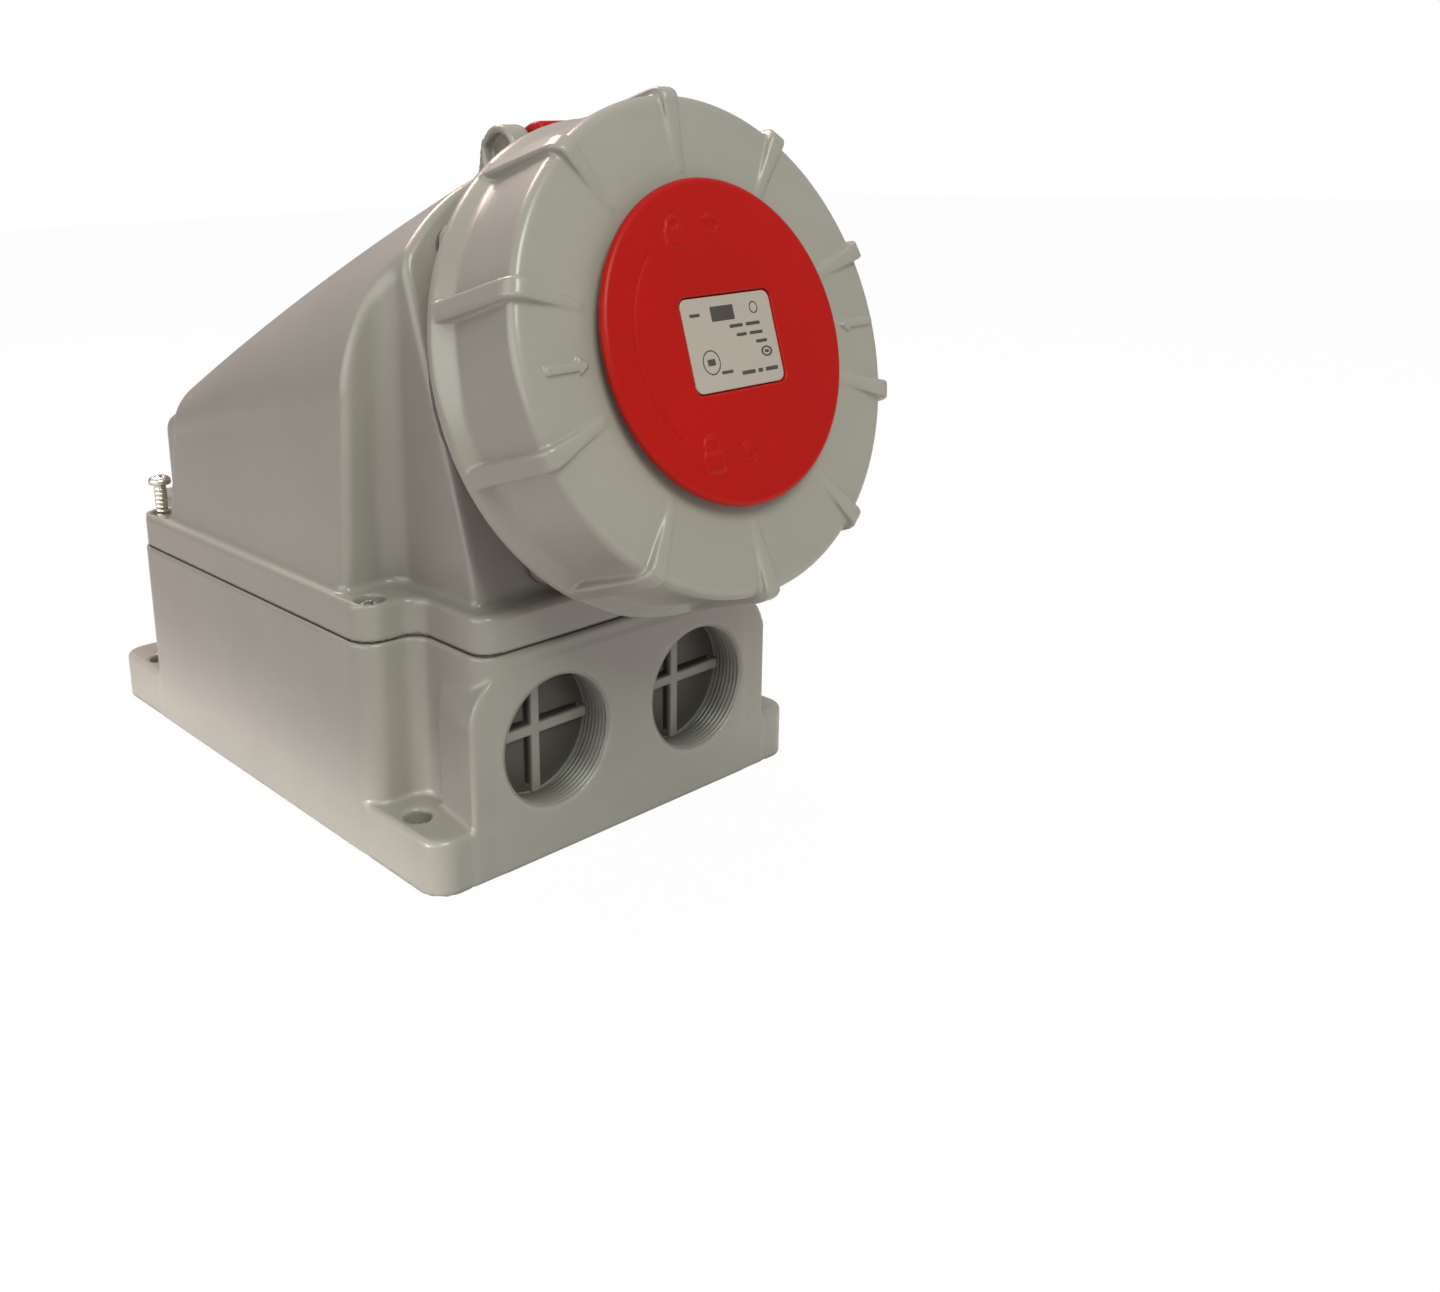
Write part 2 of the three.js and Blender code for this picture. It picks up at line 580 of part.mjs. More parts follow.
// Torsion spring round the hinge pin, between the lid's two barrels.
class Helix extends THREE.Curve {
  constructor(radius, halfLength, turns) {
    super();
    this.radius = radius;
    this.halfLength = halfLength;
    this.turns = turns;
  }

  getPoint(t, target = new THREE.Vector3()) {
    const angle = 2 * Math.PI * this.turns * t;
    const x = this.halfLength * (2 * t - 1);
    return target.set(x, HINGE.y + this.radius * Math.cos(angle), HINGE.z + this.radius * Math.sin(angle));
  }
}

function hingeSpring() {
  const turns = 5;
  const wire = new THREE.Shape();
  wire.absarc(0, 0, 0.7, 0, 2 * Math.PI, false);
  return new THREE.ExtrudeGeometry(wire, {
    extrudePath: new Helix(4.4, 5.6, turns), steps: turns * 9, curveSegments: 3, bevelEnabled: false,
  });
}

// ---------------------------------------------------------------- assembly
const root = new THREE.Group();

function place(parent, name, shape, material, position = [0, 0, 0], rotation = [0, 0, 0]) {
  const geometry = shape.isBufferGeometry ? shape : toGeometry(shape);
  const mesh = new THREE.Mesh(geometry, material());
  mesh.name = name;
  mesh.position.set(...position);
  mesh.rotation.set(...rotation);
  parent.add(mesh);
}

place(root, 'base_box', baseBox(), greyPlastic);
place(root, 'hood_gasket', hoodGasket(), sealRubber);
place(root, 'hood', hood(), greyPlastic);

const { headR, headH, shankR, length, seat, proud } = COVER_SCREW;
const coverScrew = toGeometry(screwSolid(headR, headH, shankR, length));
for (const [name, [x, y]] of Object.entries(LUGS)) {
  const undone = name === 'back_left' ? proud : 0;
  place(root, `cover_screw_${name}`, coverScrew, zincSteel, [x, y, seat + undone]);
}

root.add(inlet);
const flangeGasket = cut(
  lobedPlate(0.4, -FACE_DEPTH + 0.2, PLATE_BACK - 0.2),
  rod(41.8, -FACE_DEPTH - 1, PLATE_BACK + 1, 0, 0, 40),
  ...flangeScrewPlaces().map(([x, y]) => rod(2.4, -FACE_DEPTH - 1, PLATE_BACK + 1, x, y, 12)),
);
place(inlet, 'flange_gasket', flangeGasket, sealRubber);
place(inlet, 'inlet_flange', inletFlange(), greyPlastic);
place(inlet, 'inlet_shroud', inletShroud(), redPlastic);
place(inlet, 'contact_carrier', contactCarrier(), darkPlastic);

const flangeScrew = toGeometry(screwSolid(4, 2.8, 1.6, 11.5));
flangeScrewPlaces().forEach(([x, y], i) => {
  place(inlet, `flange_screw_${i + 1}`, flangeScrew, zincSteel, [x, y, PLATE_FRONT - 1.2]);
});

const TERMINAL = { r: 6.6, length: 20 };
const screwZ = CARRIER.back - 0.3 - TERMINAL.length * 0.6;
for (const [name, { angle, r }] of Object.entries(pinPlaces)) {
  const turn = THREE.MathUtils.degToRad(angle - 90);
  const [x, y] = pinCentre(angle);
  const outward = new THREE.Vector2(x, y).normalize().multiplyScalar(PIN_CIRCLE_R + 2.5);
  place(inlet, `pin_${name}`, contactPin(r, -22, TERMINAL.r, TERMINAL.length), brass, [x, y, 0], [0, 0, turn]);
  place(inlet, `terminal_screw_${name}`, terminalScrew(1.9, 5.6), zincSteel,
    [outward.x, outward.y, screwZ], [0, 0, turn]);
}
place(inlet, 'pin_pilot', contactPin(3, -34, 4.6, 14), brass);
place(inlet, 'terminal_screw_pilot', terminalScrew(1.9, 2.6), zincSteel,
  [0, 2.6, CARRIER.back - 0.3 - 14 * 0.6]);

place(inlet, 'hinge_pin', hingePin(), zincSteel);
place(inlet, 'hinge_spring', hingeSpring(), springSteel);
place(inlet, 'lid_carrier', lidCarrier(), redPlastic);
place(inlet, 'lid_gasket', lidGasket(), sealRubber);
place(inlet, 'lid_disc', lidDisc(), redPlastic);
const ratingPlate = prismGeometry(rectangle(PLATE.w / 2, PLATE.h / 2, PLATE.r), -1.1, -0.4);
place(inlet, 'rating_plate', ratingPlate, labelStock, [PLATE.x, PLATE.y, 0]);
place(inlet, 'locking_ring', lockingRing(), greyPlastic);

export default root;
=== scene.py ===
"""Generator inlet box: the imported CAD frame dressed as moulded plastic, rubber, brass and zinc plate.

Each rebuilt piece is a signed distance function in millimetres, negative inside, meshed by surface nets. The box's
pieces use the row frame. The inlet's pieces use the inlet frame: x across, y up the lid's face, z out along the
inlet's axis, with its origin at the centre of the lid's front.
"""
import json
import math

import bmesh
import bpy
import numpy as np
from mathutils import Matrix, Vector


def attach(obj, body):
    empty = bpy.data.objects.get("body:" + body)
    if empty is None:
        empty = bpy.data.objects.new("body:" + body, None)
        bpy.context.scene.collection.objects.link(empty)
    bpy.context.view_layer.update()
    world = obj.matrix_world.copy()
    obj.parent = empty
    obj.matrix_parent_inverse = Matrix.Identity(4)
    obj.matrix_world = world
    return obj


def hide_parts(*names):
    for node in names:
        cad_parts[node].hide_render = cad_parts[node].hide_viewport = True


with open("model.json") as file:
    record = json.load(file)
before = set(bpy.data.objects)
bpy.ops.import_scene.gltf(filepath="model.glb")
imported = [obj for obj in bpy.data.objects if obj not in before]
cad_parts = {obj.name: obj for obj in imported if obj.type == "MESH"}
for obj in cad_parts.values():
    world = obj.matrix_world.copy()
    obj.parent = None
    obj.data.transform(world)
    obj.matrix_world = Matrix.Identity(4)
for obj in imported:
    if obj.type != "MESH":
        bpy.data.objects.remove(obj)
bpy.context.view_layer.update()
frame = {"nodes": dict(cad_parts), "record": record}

# ---------------------------------------------------------------- driving dimensions, mm
# Base box
BOX_HALF_X, BOX_HALF_Y, BASE_TOP, BASE_WALL, FOOT_TOP = 74, 104, 66.2, 4, 17
FOOT_HOLE = {"x": 66.3, "y": 85, "r": 4.15}
LUG_X, LUG_FRONT_Y, LUG_BACK_Y = 66.8, 66.8, 69                  # cover screw axes
LUG_REACH, END_HALF_X = 6.6, 55.5                                # past the screw's axis, and the box's narrow ends
PILLAR_R, SCREW_HOLE_R, RIM_WIDTH, REBATE_DEPTH = 6, 2.7, 1.7, 2
PAD_HALF_X, PAD_MIDDLE_Z, PAD_HALF_Z, PAD_CORNER, PAD_DEPTH, PAD_TAPER = 60.4, 21, 41, 16, 20, 0.05
ENTRY_X, ENTRY_Z, ENTRY_MOUTH, ENTRY_CORE, ENTRY_DEPTH, ENTRY_PITCH = 29, 35.5, 20.4, 19.6, 11, 1.5
ENTRY_BOSS_R, THREAD_TURNS, MEMBRANE_FRONT, MEMBRANE_BACK, CROSS_HALF_WIDTH = 25, 6.6, 1.2, 3.4, 1.6
# Hood
HOOD_BOTTOM, FLANGE_TOP, FLANGE_INSET, HOOD_WALL, HOOD_BACK_Y, CHANNEL_Y = 66.8, 78, 0.7, 3.5, 97, 57.8
HOOD_HALF_X, TAIL_HALF_X, TAIL_CORNER = 72, 50.6, 10
ROOF_START_Y, ROOF_START_Z, ROOF_SLOPE, ROOF_CURVE, TAIL_SLOPE = -61, 196.2, 0.533, 0.00053, 0.47
CORNER_START_Y, CORNER_RUN = -57, 115
CORNER_X, CORNER_Z, CORNER_WIDTH, CORNER_POWER = 65.7, 132.8, 61.9, 1.81         # the roof's corners at the start
WALL_LEAN, CORNER_DROP, CORNER_NARROWING, POWER_GAIN = 4.3, 25.5, 38.6, 0.49     # and their change over the run
SEAT_R, SEAT_DEPTH, SEAT_RIM_R, COVER_SCREW_SEAT, COVER_SCREW_PROUD = 4.55, 4.2, 5.8, 3.9, 14.2
# Inlet
INLET_CENTRE, INLET_TILT, FACE_DEPTH, HOOD_BORE_R = (0, -141.8, 151.2), 17, 64.2, 41.5
PLATE_BACK, PLATE_FRONT, COLLAR_INNER, COLLAR_OUTER, COLLAR_FRONT = -62.8, -57.8, 46.6, 50, -18
FLANGE_R, FLANGE_LOBE_R, FLANGE_SCREW_R, FLANGE_SCREW_ANGLES = 52, 6.6, 54.6, (127, 53, -61.6, -118.4)
SHROUD_INNER, SHROUD_OUTER, SHROUD_BACK, SHROUD_FRONT, SHROUD_LIP_R = 35.8, 39.4, -96, -18.4, 44.6
KEY_R, KEYWAY_R, KEYWAY_BACK = 43.4, 40.6, -58.4
CARRIER_FRONT, PIN_CIRCLE_R, PIN_TIP, PILOT_TIP = -76, 18.5, -22, -34
HINGE_Y, HINGE_Z, PIN_R, PIN_HEAD_R, BARREL_R, EAR_R, BARREL_HALF_X, EAR_X = 66, -50, 2, 3.6, 5.6, 7.3, 14, 22
SPRING_R, SPRING_WIRE_R, SPRING_HALF_X, SPRING_TURNS = 4.4, 0.7, 5.6, 5
# Locking ring and lid
RING_FRONT, RING_WALL, RING_RIM, RING_BACK, RING_INNER, RING_HOLE = -5, 66.6, 70, -36.5, 63, 36.8
FLARE_Z, FLARE_RUN, FLARE_RISE, FLARE_LENGTH = -29.3, 4.6, 3.4, 5.72
RIB_COUNT, RIB_HALF_WIDTH = 10, 2.7
LUG_ANGLES, LUG_INNER, LUG_BACK, LUG_FRONT, LOCK_TURN = (60, -60, 180), 54, -35.7, -31.7, 30
RAMP_R, RAMP_BACK, RAMP_FRONT = 57.5, -31.2, -26.7
DISC_R, HUB_R, HUB_BACK = 43.1, 35.8, -9.3
PLATE_HALF_W, PLATE_HALF_H, PLATE_R, PLATE_X, PLATE_Y = 16.8, 12.2, 2.5, 1.2, -0.2
LID_PLATE_R, LID_PLATE_BACK, LID_PLATE_FRONT, ARM_BACK = 57, -13, -9.6, -45.6
LID_SEAL_INNER, LID_SEAL_OUTER, LID_SEAL_BACK = 44.4, 51.4, -17.7

LUGS = {
    "front_left": (-LUG_X, -LUG_FRONT_Y),
    "front_right": (LUG_X, -LUG_FRONT_Y),
    "back_right": (LUG_X, LUG_BACK_Y),
    "back_left": (-LUG_X, LUG_BACK_Y),
}
COARSE = 1
WELD_DISTANCE = 1e-6              # metres

tilt = math.radians(INLET_TILT)
OUT = np.array([0, -math.cos(tilt), math.sin(tilt)])
UP_FACE = np.array([0, math.sin(tilt), math.cos(tilt)])
ROW_FRAME = Matrix.Identity(4)
INLET_FRAME = Matrix((
    (1, 0, 0, INLET_CENTRE[0] / 1000),
    (0, UP_FACE[1], OUT[1], INLET_CENTRE[1] / 1000),
    (0, UP_FACE[2], OUT[2], INLET_CENTRE[2] / 1000),
    (0, 0, 0, 1),
))


# ---------------------------------------------------------------- distance functions
def meet(r, first, *rest):
    """Intersection whose convex edges are rounded to radius r."""
    for other in rest:
        a = np.maximum(r + first, 0)
        b = np.maximum(r + other, 0)
        first = np.minimum(-r, np.maximum(first, other)) + np.hypot(a, b)
    return first


def merge(r, first, *rest):
    """Union whose concave corners are filled to radius r."""
    for other in rest:
        a = np.maximum(r - first, 0)
        b = np.maximum(r - other, 0)
        first = np.maximum(r, np.minimum(first, other)) - np.hypot(a, b)
    return first


def carve(r, body, *tools):
    """body less the tools, with the edges rounded to radius r."""
    return meet(r, body, *[-tool for tool in tools])


def span(v, low, high):
    """Distance to the slab between two values of v."""
    return np.abs(v - (low + high) / 2) - (high - low) / 2


def rect(a, b, half_a, half_b, r):
    """Distance to a rectangle with corners of radius r."""
    qa = np.abs(a) - half_a + r
    qb = np.abs(b) - half_b + r
    return np.hypot(np.maximum(qa, 0), np.maximum(qb, 0)) + np.minimum(np.maximum(qa, qb), 0) - r


def circle(a, b, r, centre=(0, 0)):
    """Distance to a circle."""
    return np.hypot(a - centre[0], b - centre[1]) - r


def polygon(a, b, corners):
    """Distance to a polygon with the given corners."""
    nearest = np.full(a.shape, 1e9)
    inside = np.zeros(a.shape, bool)
    for (a0, b0), (a1, b1) in zip(corners, corners[1:] + corners[:1]):
        da, db = a1 - a0, b1 - b0
        t = np.clip(((a - a0) * da + (b - b0) * db) / (da * da + db * db), 0, 1)
        nearest = np.minimum(nearest, (a - a0 - t * da) ** 2 + (b - b0 - t * db) ** 2)
        if db:
            inside ^= ((b0 > b) != (b1 > b)) & (a < a0 + (b - b0) / db * da)
    return np.where(inside, -1, 1) * np.sqrt(nearest)


def sector(x, y, r0, r1, middle, half_spread):
    """Block of a ring between two radii, half_spread degrees either side of middle."""
    turn = np.radians(middle)
    along = x * np.cos(turn) + y * np.sin(turn)
    across = np.abs(y * np.cos(turn) - x * np.sin(turn))
    edge = across * math.cos(math.radians(half_spread)) - along * math.sin(math.radians(half_spread))
    radius = np.hypot(x, y)
    return meet(0.6, span(radius, r0, r1), edge)


# ---------------------------------------------------------------- meshing
def net_vertices(values, cells, low, cell):
    """One vertex in each cell the surface passes through: the mean of its edge crossings."""
    corners = np.array([(i, j, k) for i in (0, 1) for j in (0, 1) for k in (0, 1)])
    at_corner = np.stack([values[tuple((cells + c).T)] for c in corners], axis=1)
    total = np.zeros((len(cells), 3))
    count = np.zeros(len(cells))
    for first in range(8):
        for second in range(first + 1, 8):
            if np.abs(corners[first] - corners[second]).sum() != 1:
                continue
            v0, v1 = at_corner[:, first], at_corner[:, second]
            crossed = (v0 < 0) != (v1 < 0)
            t = np.where(crossed, v0 / np.where(crossed, v0 - v1, 1), 0)[:, None]
            point = corners[first] + t * (corners[second] - corners[first])
            total += np.where(crossed[:, None], point, 0)
            count += crossed
    return low + (cells + total / count[:, None]) * cell


def surface_net(distance, low, high, cell):
    """Vertices and quads of the surface where distance is 0, meshed only near the surface."""
    block = 6
    low = np.array(low, float)
    blocks = np.ceil((np.array(high) - low) / (block * cell)).astype(int)
    shape = blocks * block + 1
    index = np.indices(blocks).reshape(3, -1).T
    middle = low + (index + 0.5) * block * cell
    rough = distance(*middle.T)
    near = np.abs(rough) < 1.5 * block * cell
    values = np.repeat(np.repeat(np.repeat(
        np.where(rough < 0, -9.0, 9.0).reshape(blocks), block, 0), block, 1), block, 2)
    values = np.pad(values, ((0, 1), (0, 1), (0, 1)), mode="edge")
    wanted = np.zeros(shape, bool)
    for corner in index[near] * block:
        wanted[tuple(slice(c, c + block + 1) for c in corner)] = True
    points = np.argwhere(wanted)
    for part in np.array_split(points, len(points) // 400000 + 1):
        values[tuple(part.T)] = distance(*(low + part * cell).T)

    inside = values < 0
    total = np.zeros(shape - 1, int)
    for i in (0, 1):
        for j in (0, 1):
            for k in (0, 1):
                total += inside[i:shape[0] - 1 + i, j:shape[1] - 1 + j, k:shape[2] - 1 + k]
    cells = np.argwhere((total > 0) & (total < 8))
    number = np.full(shape - 1, -1)
    number[tuple(cells.T)] = np.arange(len(cells))
    vertices = net_vertices(values, cells, low, cell)
    vertices = settle(distance, vertices, cell)

    quads = []
    for axis in range(3):
        ahead = np.roll(inside, -1, axis)
        changed = inside != ahead
        changed[tuple(slice(-1, None) if i == axis else slice(None) for i in range(3))] = False
        edges = np.argwhere(changed)
        u, v = [np.eye(3, dtype=int)[(axis + i) % 3] for i in (1, 2)]
        ring = [number[tuple((edges - offset).T)] for offset in (u + v, v, 0 * u, u)]
        faces = np.stack(ring, axis=1)
        outward = inside[tuple(edges.T)]
        faces[~outward] = faces[~outward][:, ::-1]
        quads.append(faces)
    return vertices, np.concatenate(quads)


def settle(distance, vertices, cell):
    """Moves the vertices along the gradient onto the surface."""
    step = 0.05 * cell
    for _ in range(2):
        here = distance(*vertices.T)
        gradient = np.stack([
            distance(*(vertices + step * axis).T) - distance(*(vertices - step * axis).T) for axis in np.eye(3)
        ], axis=1) / (2 * step)
        size = np.maximum((gradient ** 2).sum(axis=1), 0.25)
        move = -(here / size)[:, None] * gradient
        vertices = vertices + np.clip(move, -0.5 * cell, 0.5 * cell)
    return vertices


def mesh_object(name, vertices, faces, place):
    mesh = bpy.data.meshes.new(name)
    mesh.from_pydata((np.asarray(vertices) / 1000).tolist(), [], faces)
    mesh.polygons.foreach_set("use_smooth", [True] * len(mesh.polygons))
    mesh.update()
    mesh.transform(place)
    piece = bpy.data.objects.new(name, mesh)
    bpy.context.scene.collection.objects.link(piece)
    return piece


def weld(mesh):
    """Joins vertices that settled at one point, so that no face is left without an area."""
    work = bmesh.new()
    work.from_mesh(mesh)
    bmesh.ops.remove_doubles(work, verts=work.verts, dist=WELD_DISTANCE)
    work.to_mesh(mesh)
    work.free()


def finish_piece(piece, slot, body, node, material=None):
    """The piece stands for a CAD node, takes its slot's material and moves with a CAD body."""
    piece.data.materials.append(material or MATERIALS[slot])
    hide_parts(node)
    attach(piece, body)


def moulded(name, distance, low, high, cell, slot, body, node, place=ROW_FRAME, material=None):
    """A piece meshed from its distance function."""
    vertices, quads = surface_net(distance, low, high, cell * COARSE)
    piece = mesh_object(name, vertices, quads.tolist(), place)
    weld(piece.data)
    finish_piece(piece, slot, body, node, material)


def lathe(profile, segments=64):
    """Vertices and faces of a closed [radius, z] profile, given from the bottom up, turned about z."""
    angles = np.arange(segments) * 2 * math.pi / segments
    rings = [np.stack([r * np.cos(angles), r * np.sin(angles), np.full(segments, z)], axis=1) for r, z in profile]
    faces = []
    for k in range(len(profile)):
        here, above = k * segments, (k + 1) % len(profile) * segments
        for i in range(segments):
            j = (i + 1) % segments
            faces.append((here + i, here + j, above + j, above + i))
    return np.concatenate(rings), faces


# ---------------------------------------------------------------- materials
COAT_ROUGHNESS, BUMP_HEIGHT, ROUGHNESS_RANGE = 0.15, 0.0001, 0.06
GREY_COLOUR, ENTRY_COLOUR = (0.325, 0.304, 0.274), (0.315, 0.296, 0.268)


def add(tree, kind, values=None, **settings):
    """A new shader node with some input values and settings."""
    node = tree.nodes.new(kind)
    for key, value in settings.items():
        setattr(node, key, value)
    for key, value in (values or {}).items():
        node.inputs[key].default_value = value
    return node


def noise(tree, place, scale, detail=3, stretch=(1, 1, 1)):
    """Noise over the piece, with scale in features per metre."""
    mapping = add(tree, "ShaderNodeMapping", {"Scale": stretch})
    tree.links.new(place, mapping.inputs["Vector"])
    node = add(tree, "ShaderNodeTexNoise", {"Scale": scale, "Detail": detail, "Roughness": 0.6})
    tree.links.new(mapping.outputs["Vector"], node.inputs["Vector"])
    return node.outputs["Fac"]


def ranged(tree, value, low, high, to_low, to_high):
    """value mapped from one range to another and held at its ends."""
    node = add(tree, "ShaderNodeMapRange", {
        "From Min": low, "From Max": high, "To Min": to_low, "To Max": to_high})
    tree.links.new(value, node.inputs["Value"])
    return node.outputs["Result"]


def mixed(tree, factor, first, second):
    """first where factor is 0 and second where it is 1. Each is a socket or a colour."""
    node = add(tree, "ShaderNodeMix", data_type="RGBA")
    tree.links.new(factor, node.inputs["Factor"])
    for socket, colour in ((node.inputs[6], first), (node.inputs[7], second)):
        if isinstance(colour, tuple):
            socket.default_value = (*colour, 1)
        else:
            tree.links.new(colour, socket)
    return node.outputs[2]


def shade(colour, factor):
    """colour made lighter or darker."""
    return tuple(min(c * factor, 1) for c in colour)


def surface(name, colour, roughness, metallic=0.0, grain=0.1, grain_scale=1400, stretch=(1, 1, 1), variation=0.07,
            wear=0.25, coat=0.0, specular=0.5):
    """Material with mottled colour, fine speckle, worn edges, rubbed patches and a grained bump."""
    material = bpy.data.materials.new(name)
    material.use_nodes = True
    tree = material.node_tree
    shader = tree.nodes["Principled BSDF"]
    place = add(tree, "ShaderNodeTexCoord").outputs["Object"]
    cloud = ranged(tree, noise(tree, place, 28, 4), 0.3, 0.7, 0, 1)
    speckle = ranged(tree, noise(tree, place, 900, 2), 0.35, 0.65, 0, 1)
    rubbed = ranged(tree, noise(tree, place, 45, 3), 0.35, 0.7, 0, 1)
    edge = add(tree, "ShaderNodeNewGeometry").outputs["Pointiness"]
    edge = ranged(tree, edge, 0.52, 0.6, 0, wear)
    base = mixed(tree, cloud, shade(colour, 1 - variation), shade(colour, 1 + variation))
    base = mixed(tree, ranged(tree, speckle, 0, 1, 0, 0.25), base, shade(colour, 1 - 1.5 * variation))
    base = mixed(tree, edge, base, shade(colour, 1.35))
    tree.links.new(base, shader.inputs["Base Color"])
    tree.links.new(ranged(tree, rubbed, 0, 1, roughness, roughness + ROUGHNESS_RANGE), shader.inputs["Roughness"])
    shader.inputs["Metallic"].default_value = metallic
    shader.inputs["Specular IOR Level"].default_value = specular
    shader.inputs["Coat Weight"].default_value = coat
    shader.inputs["Coat Roughness"].default_value = COAT_ROUGHNESS
    bump = add(tree, "ShaderNodeBump", {"Strength": grain, "Distance": BUMP_HEIGHT})
    tree.links.new(noise(tree, place, grain_scale, 3, stretch), bump.inputs["Height"])
    tree.links.new(bump.outputs["Normal"], shader.inputs["Normal"])
    return material


def painted_shade_entry_material(name, mouth, bottom, painted_shade_colour):
    """Grey plastic with painted shade: it darkens between two depths of a cable entry, in mm from its mouth."""
    material = surface(name, ENTRY_COLOUR, 0.35, variation=0.04)
    tree = material.node_tree
    shader = tree.nodes["Principled BSDF"]
    plain = shader.inputs["Base Color"].links[0].from_socket
    place = add(tree, "ShaderNodeSeparateXYZ")
    tree.links.new(add(tree, "ShaderNodeTexCoord").outputs["Object"], place.inputs[0])
    # painted shade: the mask rises from the plain grey to the dark colour with depth into the entry
    painted_shade_mask = ranged(tree, place.outputs["Y"], (mouth - BOX_HALF_Y) / 1000, (bottom - BOX_HALF_Y) / 1000, 0, 1)
    tree.links.new(mixed(tree, painted_shade_mask, plain, painted_shade_colour), shader.inputs["Base Color"])
    return material


GREY = surface("grey moulded plastic", GREY_COLOUR, 0.28, variation=0.04, coat=0.2)
RED = surface("red moulded plastic", (0.405, 0.004, 0.001), 0.34, variation=0.05, specular=0.2)
DARK = surface("black moulded plastic", (0.025, 0.025, 0.026), 0.4, variation=0.15)
RUBBER = surface("seal rubber", (0.13, 0.12, 0.11), 0.7, grain=0.3, variation=0.2)
ZINC = surface("zinc plated steel", (0.62, 0.61, 0.56), 0.28, 0.95, grain=0.15, variation=0.12)
BRASS = surface("turned brass", (0.72, 0.50, 0.20), 0.28, 0.95, 0.15, 2500, (0.2, 0.2, 4), 0.1)
SPRING = surface("spring wire", (0.42, 0.42, 0.43), 0.3, 0.95, 0.2, 2500, (0.2, 1, 1), 0.12)
LABEL = surface("printed film", (0.41, 0.36, 0.325), 0.42, variation=0.04, wear=0.1)
# painted shade: the membrane behind the cross is painted dark; the cross keeps the plain grey
WEB_PAINTED_SHADE = painted_shade_entry_material("grey web with painted shade", ENTRY_DEPTH, ENTRY_DEPTH + 1.1, (0.085, 0.078, 0.068))
# painted shade: the thread's colour darkens from the mouth towards the bottom of the entry
THREAD_PAINTED_SHADE = painted_shade_entry_material("grey thread with painted shade", -1, ENTRY_DEPTH - 2, (0.10, 0.093, 0.083))
INK = surface("grey printing ink", (0.06, 0.055, 0.05), 0.5, variation=0.2, wear=0.0)
MATERIALS = {
    "grey_plastic": GREY, "red_plastic": RED, "dark_plastic": DARK, "seal_rubber": RUBBER,
    "zinc_steel": ZINC, "brass": BRASS, "spring_steel": SPRING, "label": LABEL,
}


# ---------------------------------------------------------------- base box
def box_outline(x, y):
    """Rectangle with stepped corners that leave a lug for each cover screw."""
    middle = (LUG_BACK_Y - LUG_FRONT_Y) / 2
    wide = rect(x, y - middle, BOX_HALF_X, (LUG_BACK_Y + LUG_FRONT_Y) / 2 + LUG_REACH, 8)
    return merge(6, wide, rect(x, y, END_HALF_X, BOX_HALF_Y, 7))


def beyond_lug(y):
    """How far y is past the nearest cover screw's axis, towards the end of the box."""
    return np.where(y > 0, y - LUG_BACK_Y, -y - LUG_FRONT_Y)


def base_box(x, y, z):
    """Tray with four feet, a pad round the cable entries and a pillar under each cover screw."""
    outline = box_outline(x, y)
    walls = meet(0.3, outline, span(z, 0.5, BASE_TOP))
    feet = meet(1.8, rect(x, y, BOX_HALF_X, BOX_HALF_Y, 8), span(z, -5, FOOT_TOP))
    narrowing = 1 - PAD_TAPER * np.clip((y + BOX_HALF_Y) / PAD_DEPTH, 0, 1)
    pad_section = rect(x / narrowing, z - PAD_MIDDLE_Z, PAD_HALF_X, PAD_HALF_Z, PAD_CORNER)
    pad = meet(0.9, pad_section, span(y, -BOX_HALF_Y, -BOX_HALF_Y + PAD_DEPTH))
    body = meet(0.6, merge(1.1, merge(1.2, walls, feet), pad), -z)
    body = carve(0.6, body, meet(1.5, outline + BASE_WALL, BASE_WALL - z))
    side = np.abs(x)
    boss = circle(side, z, ENTRY_BOSS_R, (ENTRY_X, ENTRY_Z))
    boss = meet(0.5, boss, span(y, -BOX_HALF_Y + 1, -BOX_HALF_Y + ENTRY_DEPTH + 5))
    lug_y = beyond_lug(y)
    pillar = meet(0.5, circle(side, lug_y, PILLAR_R, (LUG_X, 0)), span(z, 2, BASE_TOP))
    body = merge(0.8, body, np.maximum(boss, body - 12), meet(0.5, pillar, outline))
    bore = circle(side, z, ENTRY_MOUTH - 0.1, (ENTRY_X, ENTRY_Z))
    through = np.maximum(bore, y + BOX_HALF_Y - ENTRY_DEPTH - 6)
    foot_hole = circle(side, np.abs(y), FOOT_HOLE["r"], (FOOT_HOLE["x"], FOOT_HOLE["y"]))
    screw_hole = np.maximum(circle(side, lug_y, SCREW_HOLE_R, (LUG_X, 0)), 30 - z)
    rebate = np.maximum(outline + RIM_WIDTH, BASE_TOP - REBATE_DEPTH - z)
    body = carve(0.5, body, np.maximum(foot_hole, z - FOOT_TOP - 2), screw_hole, rebate)
    return carve(0.25, body, through)


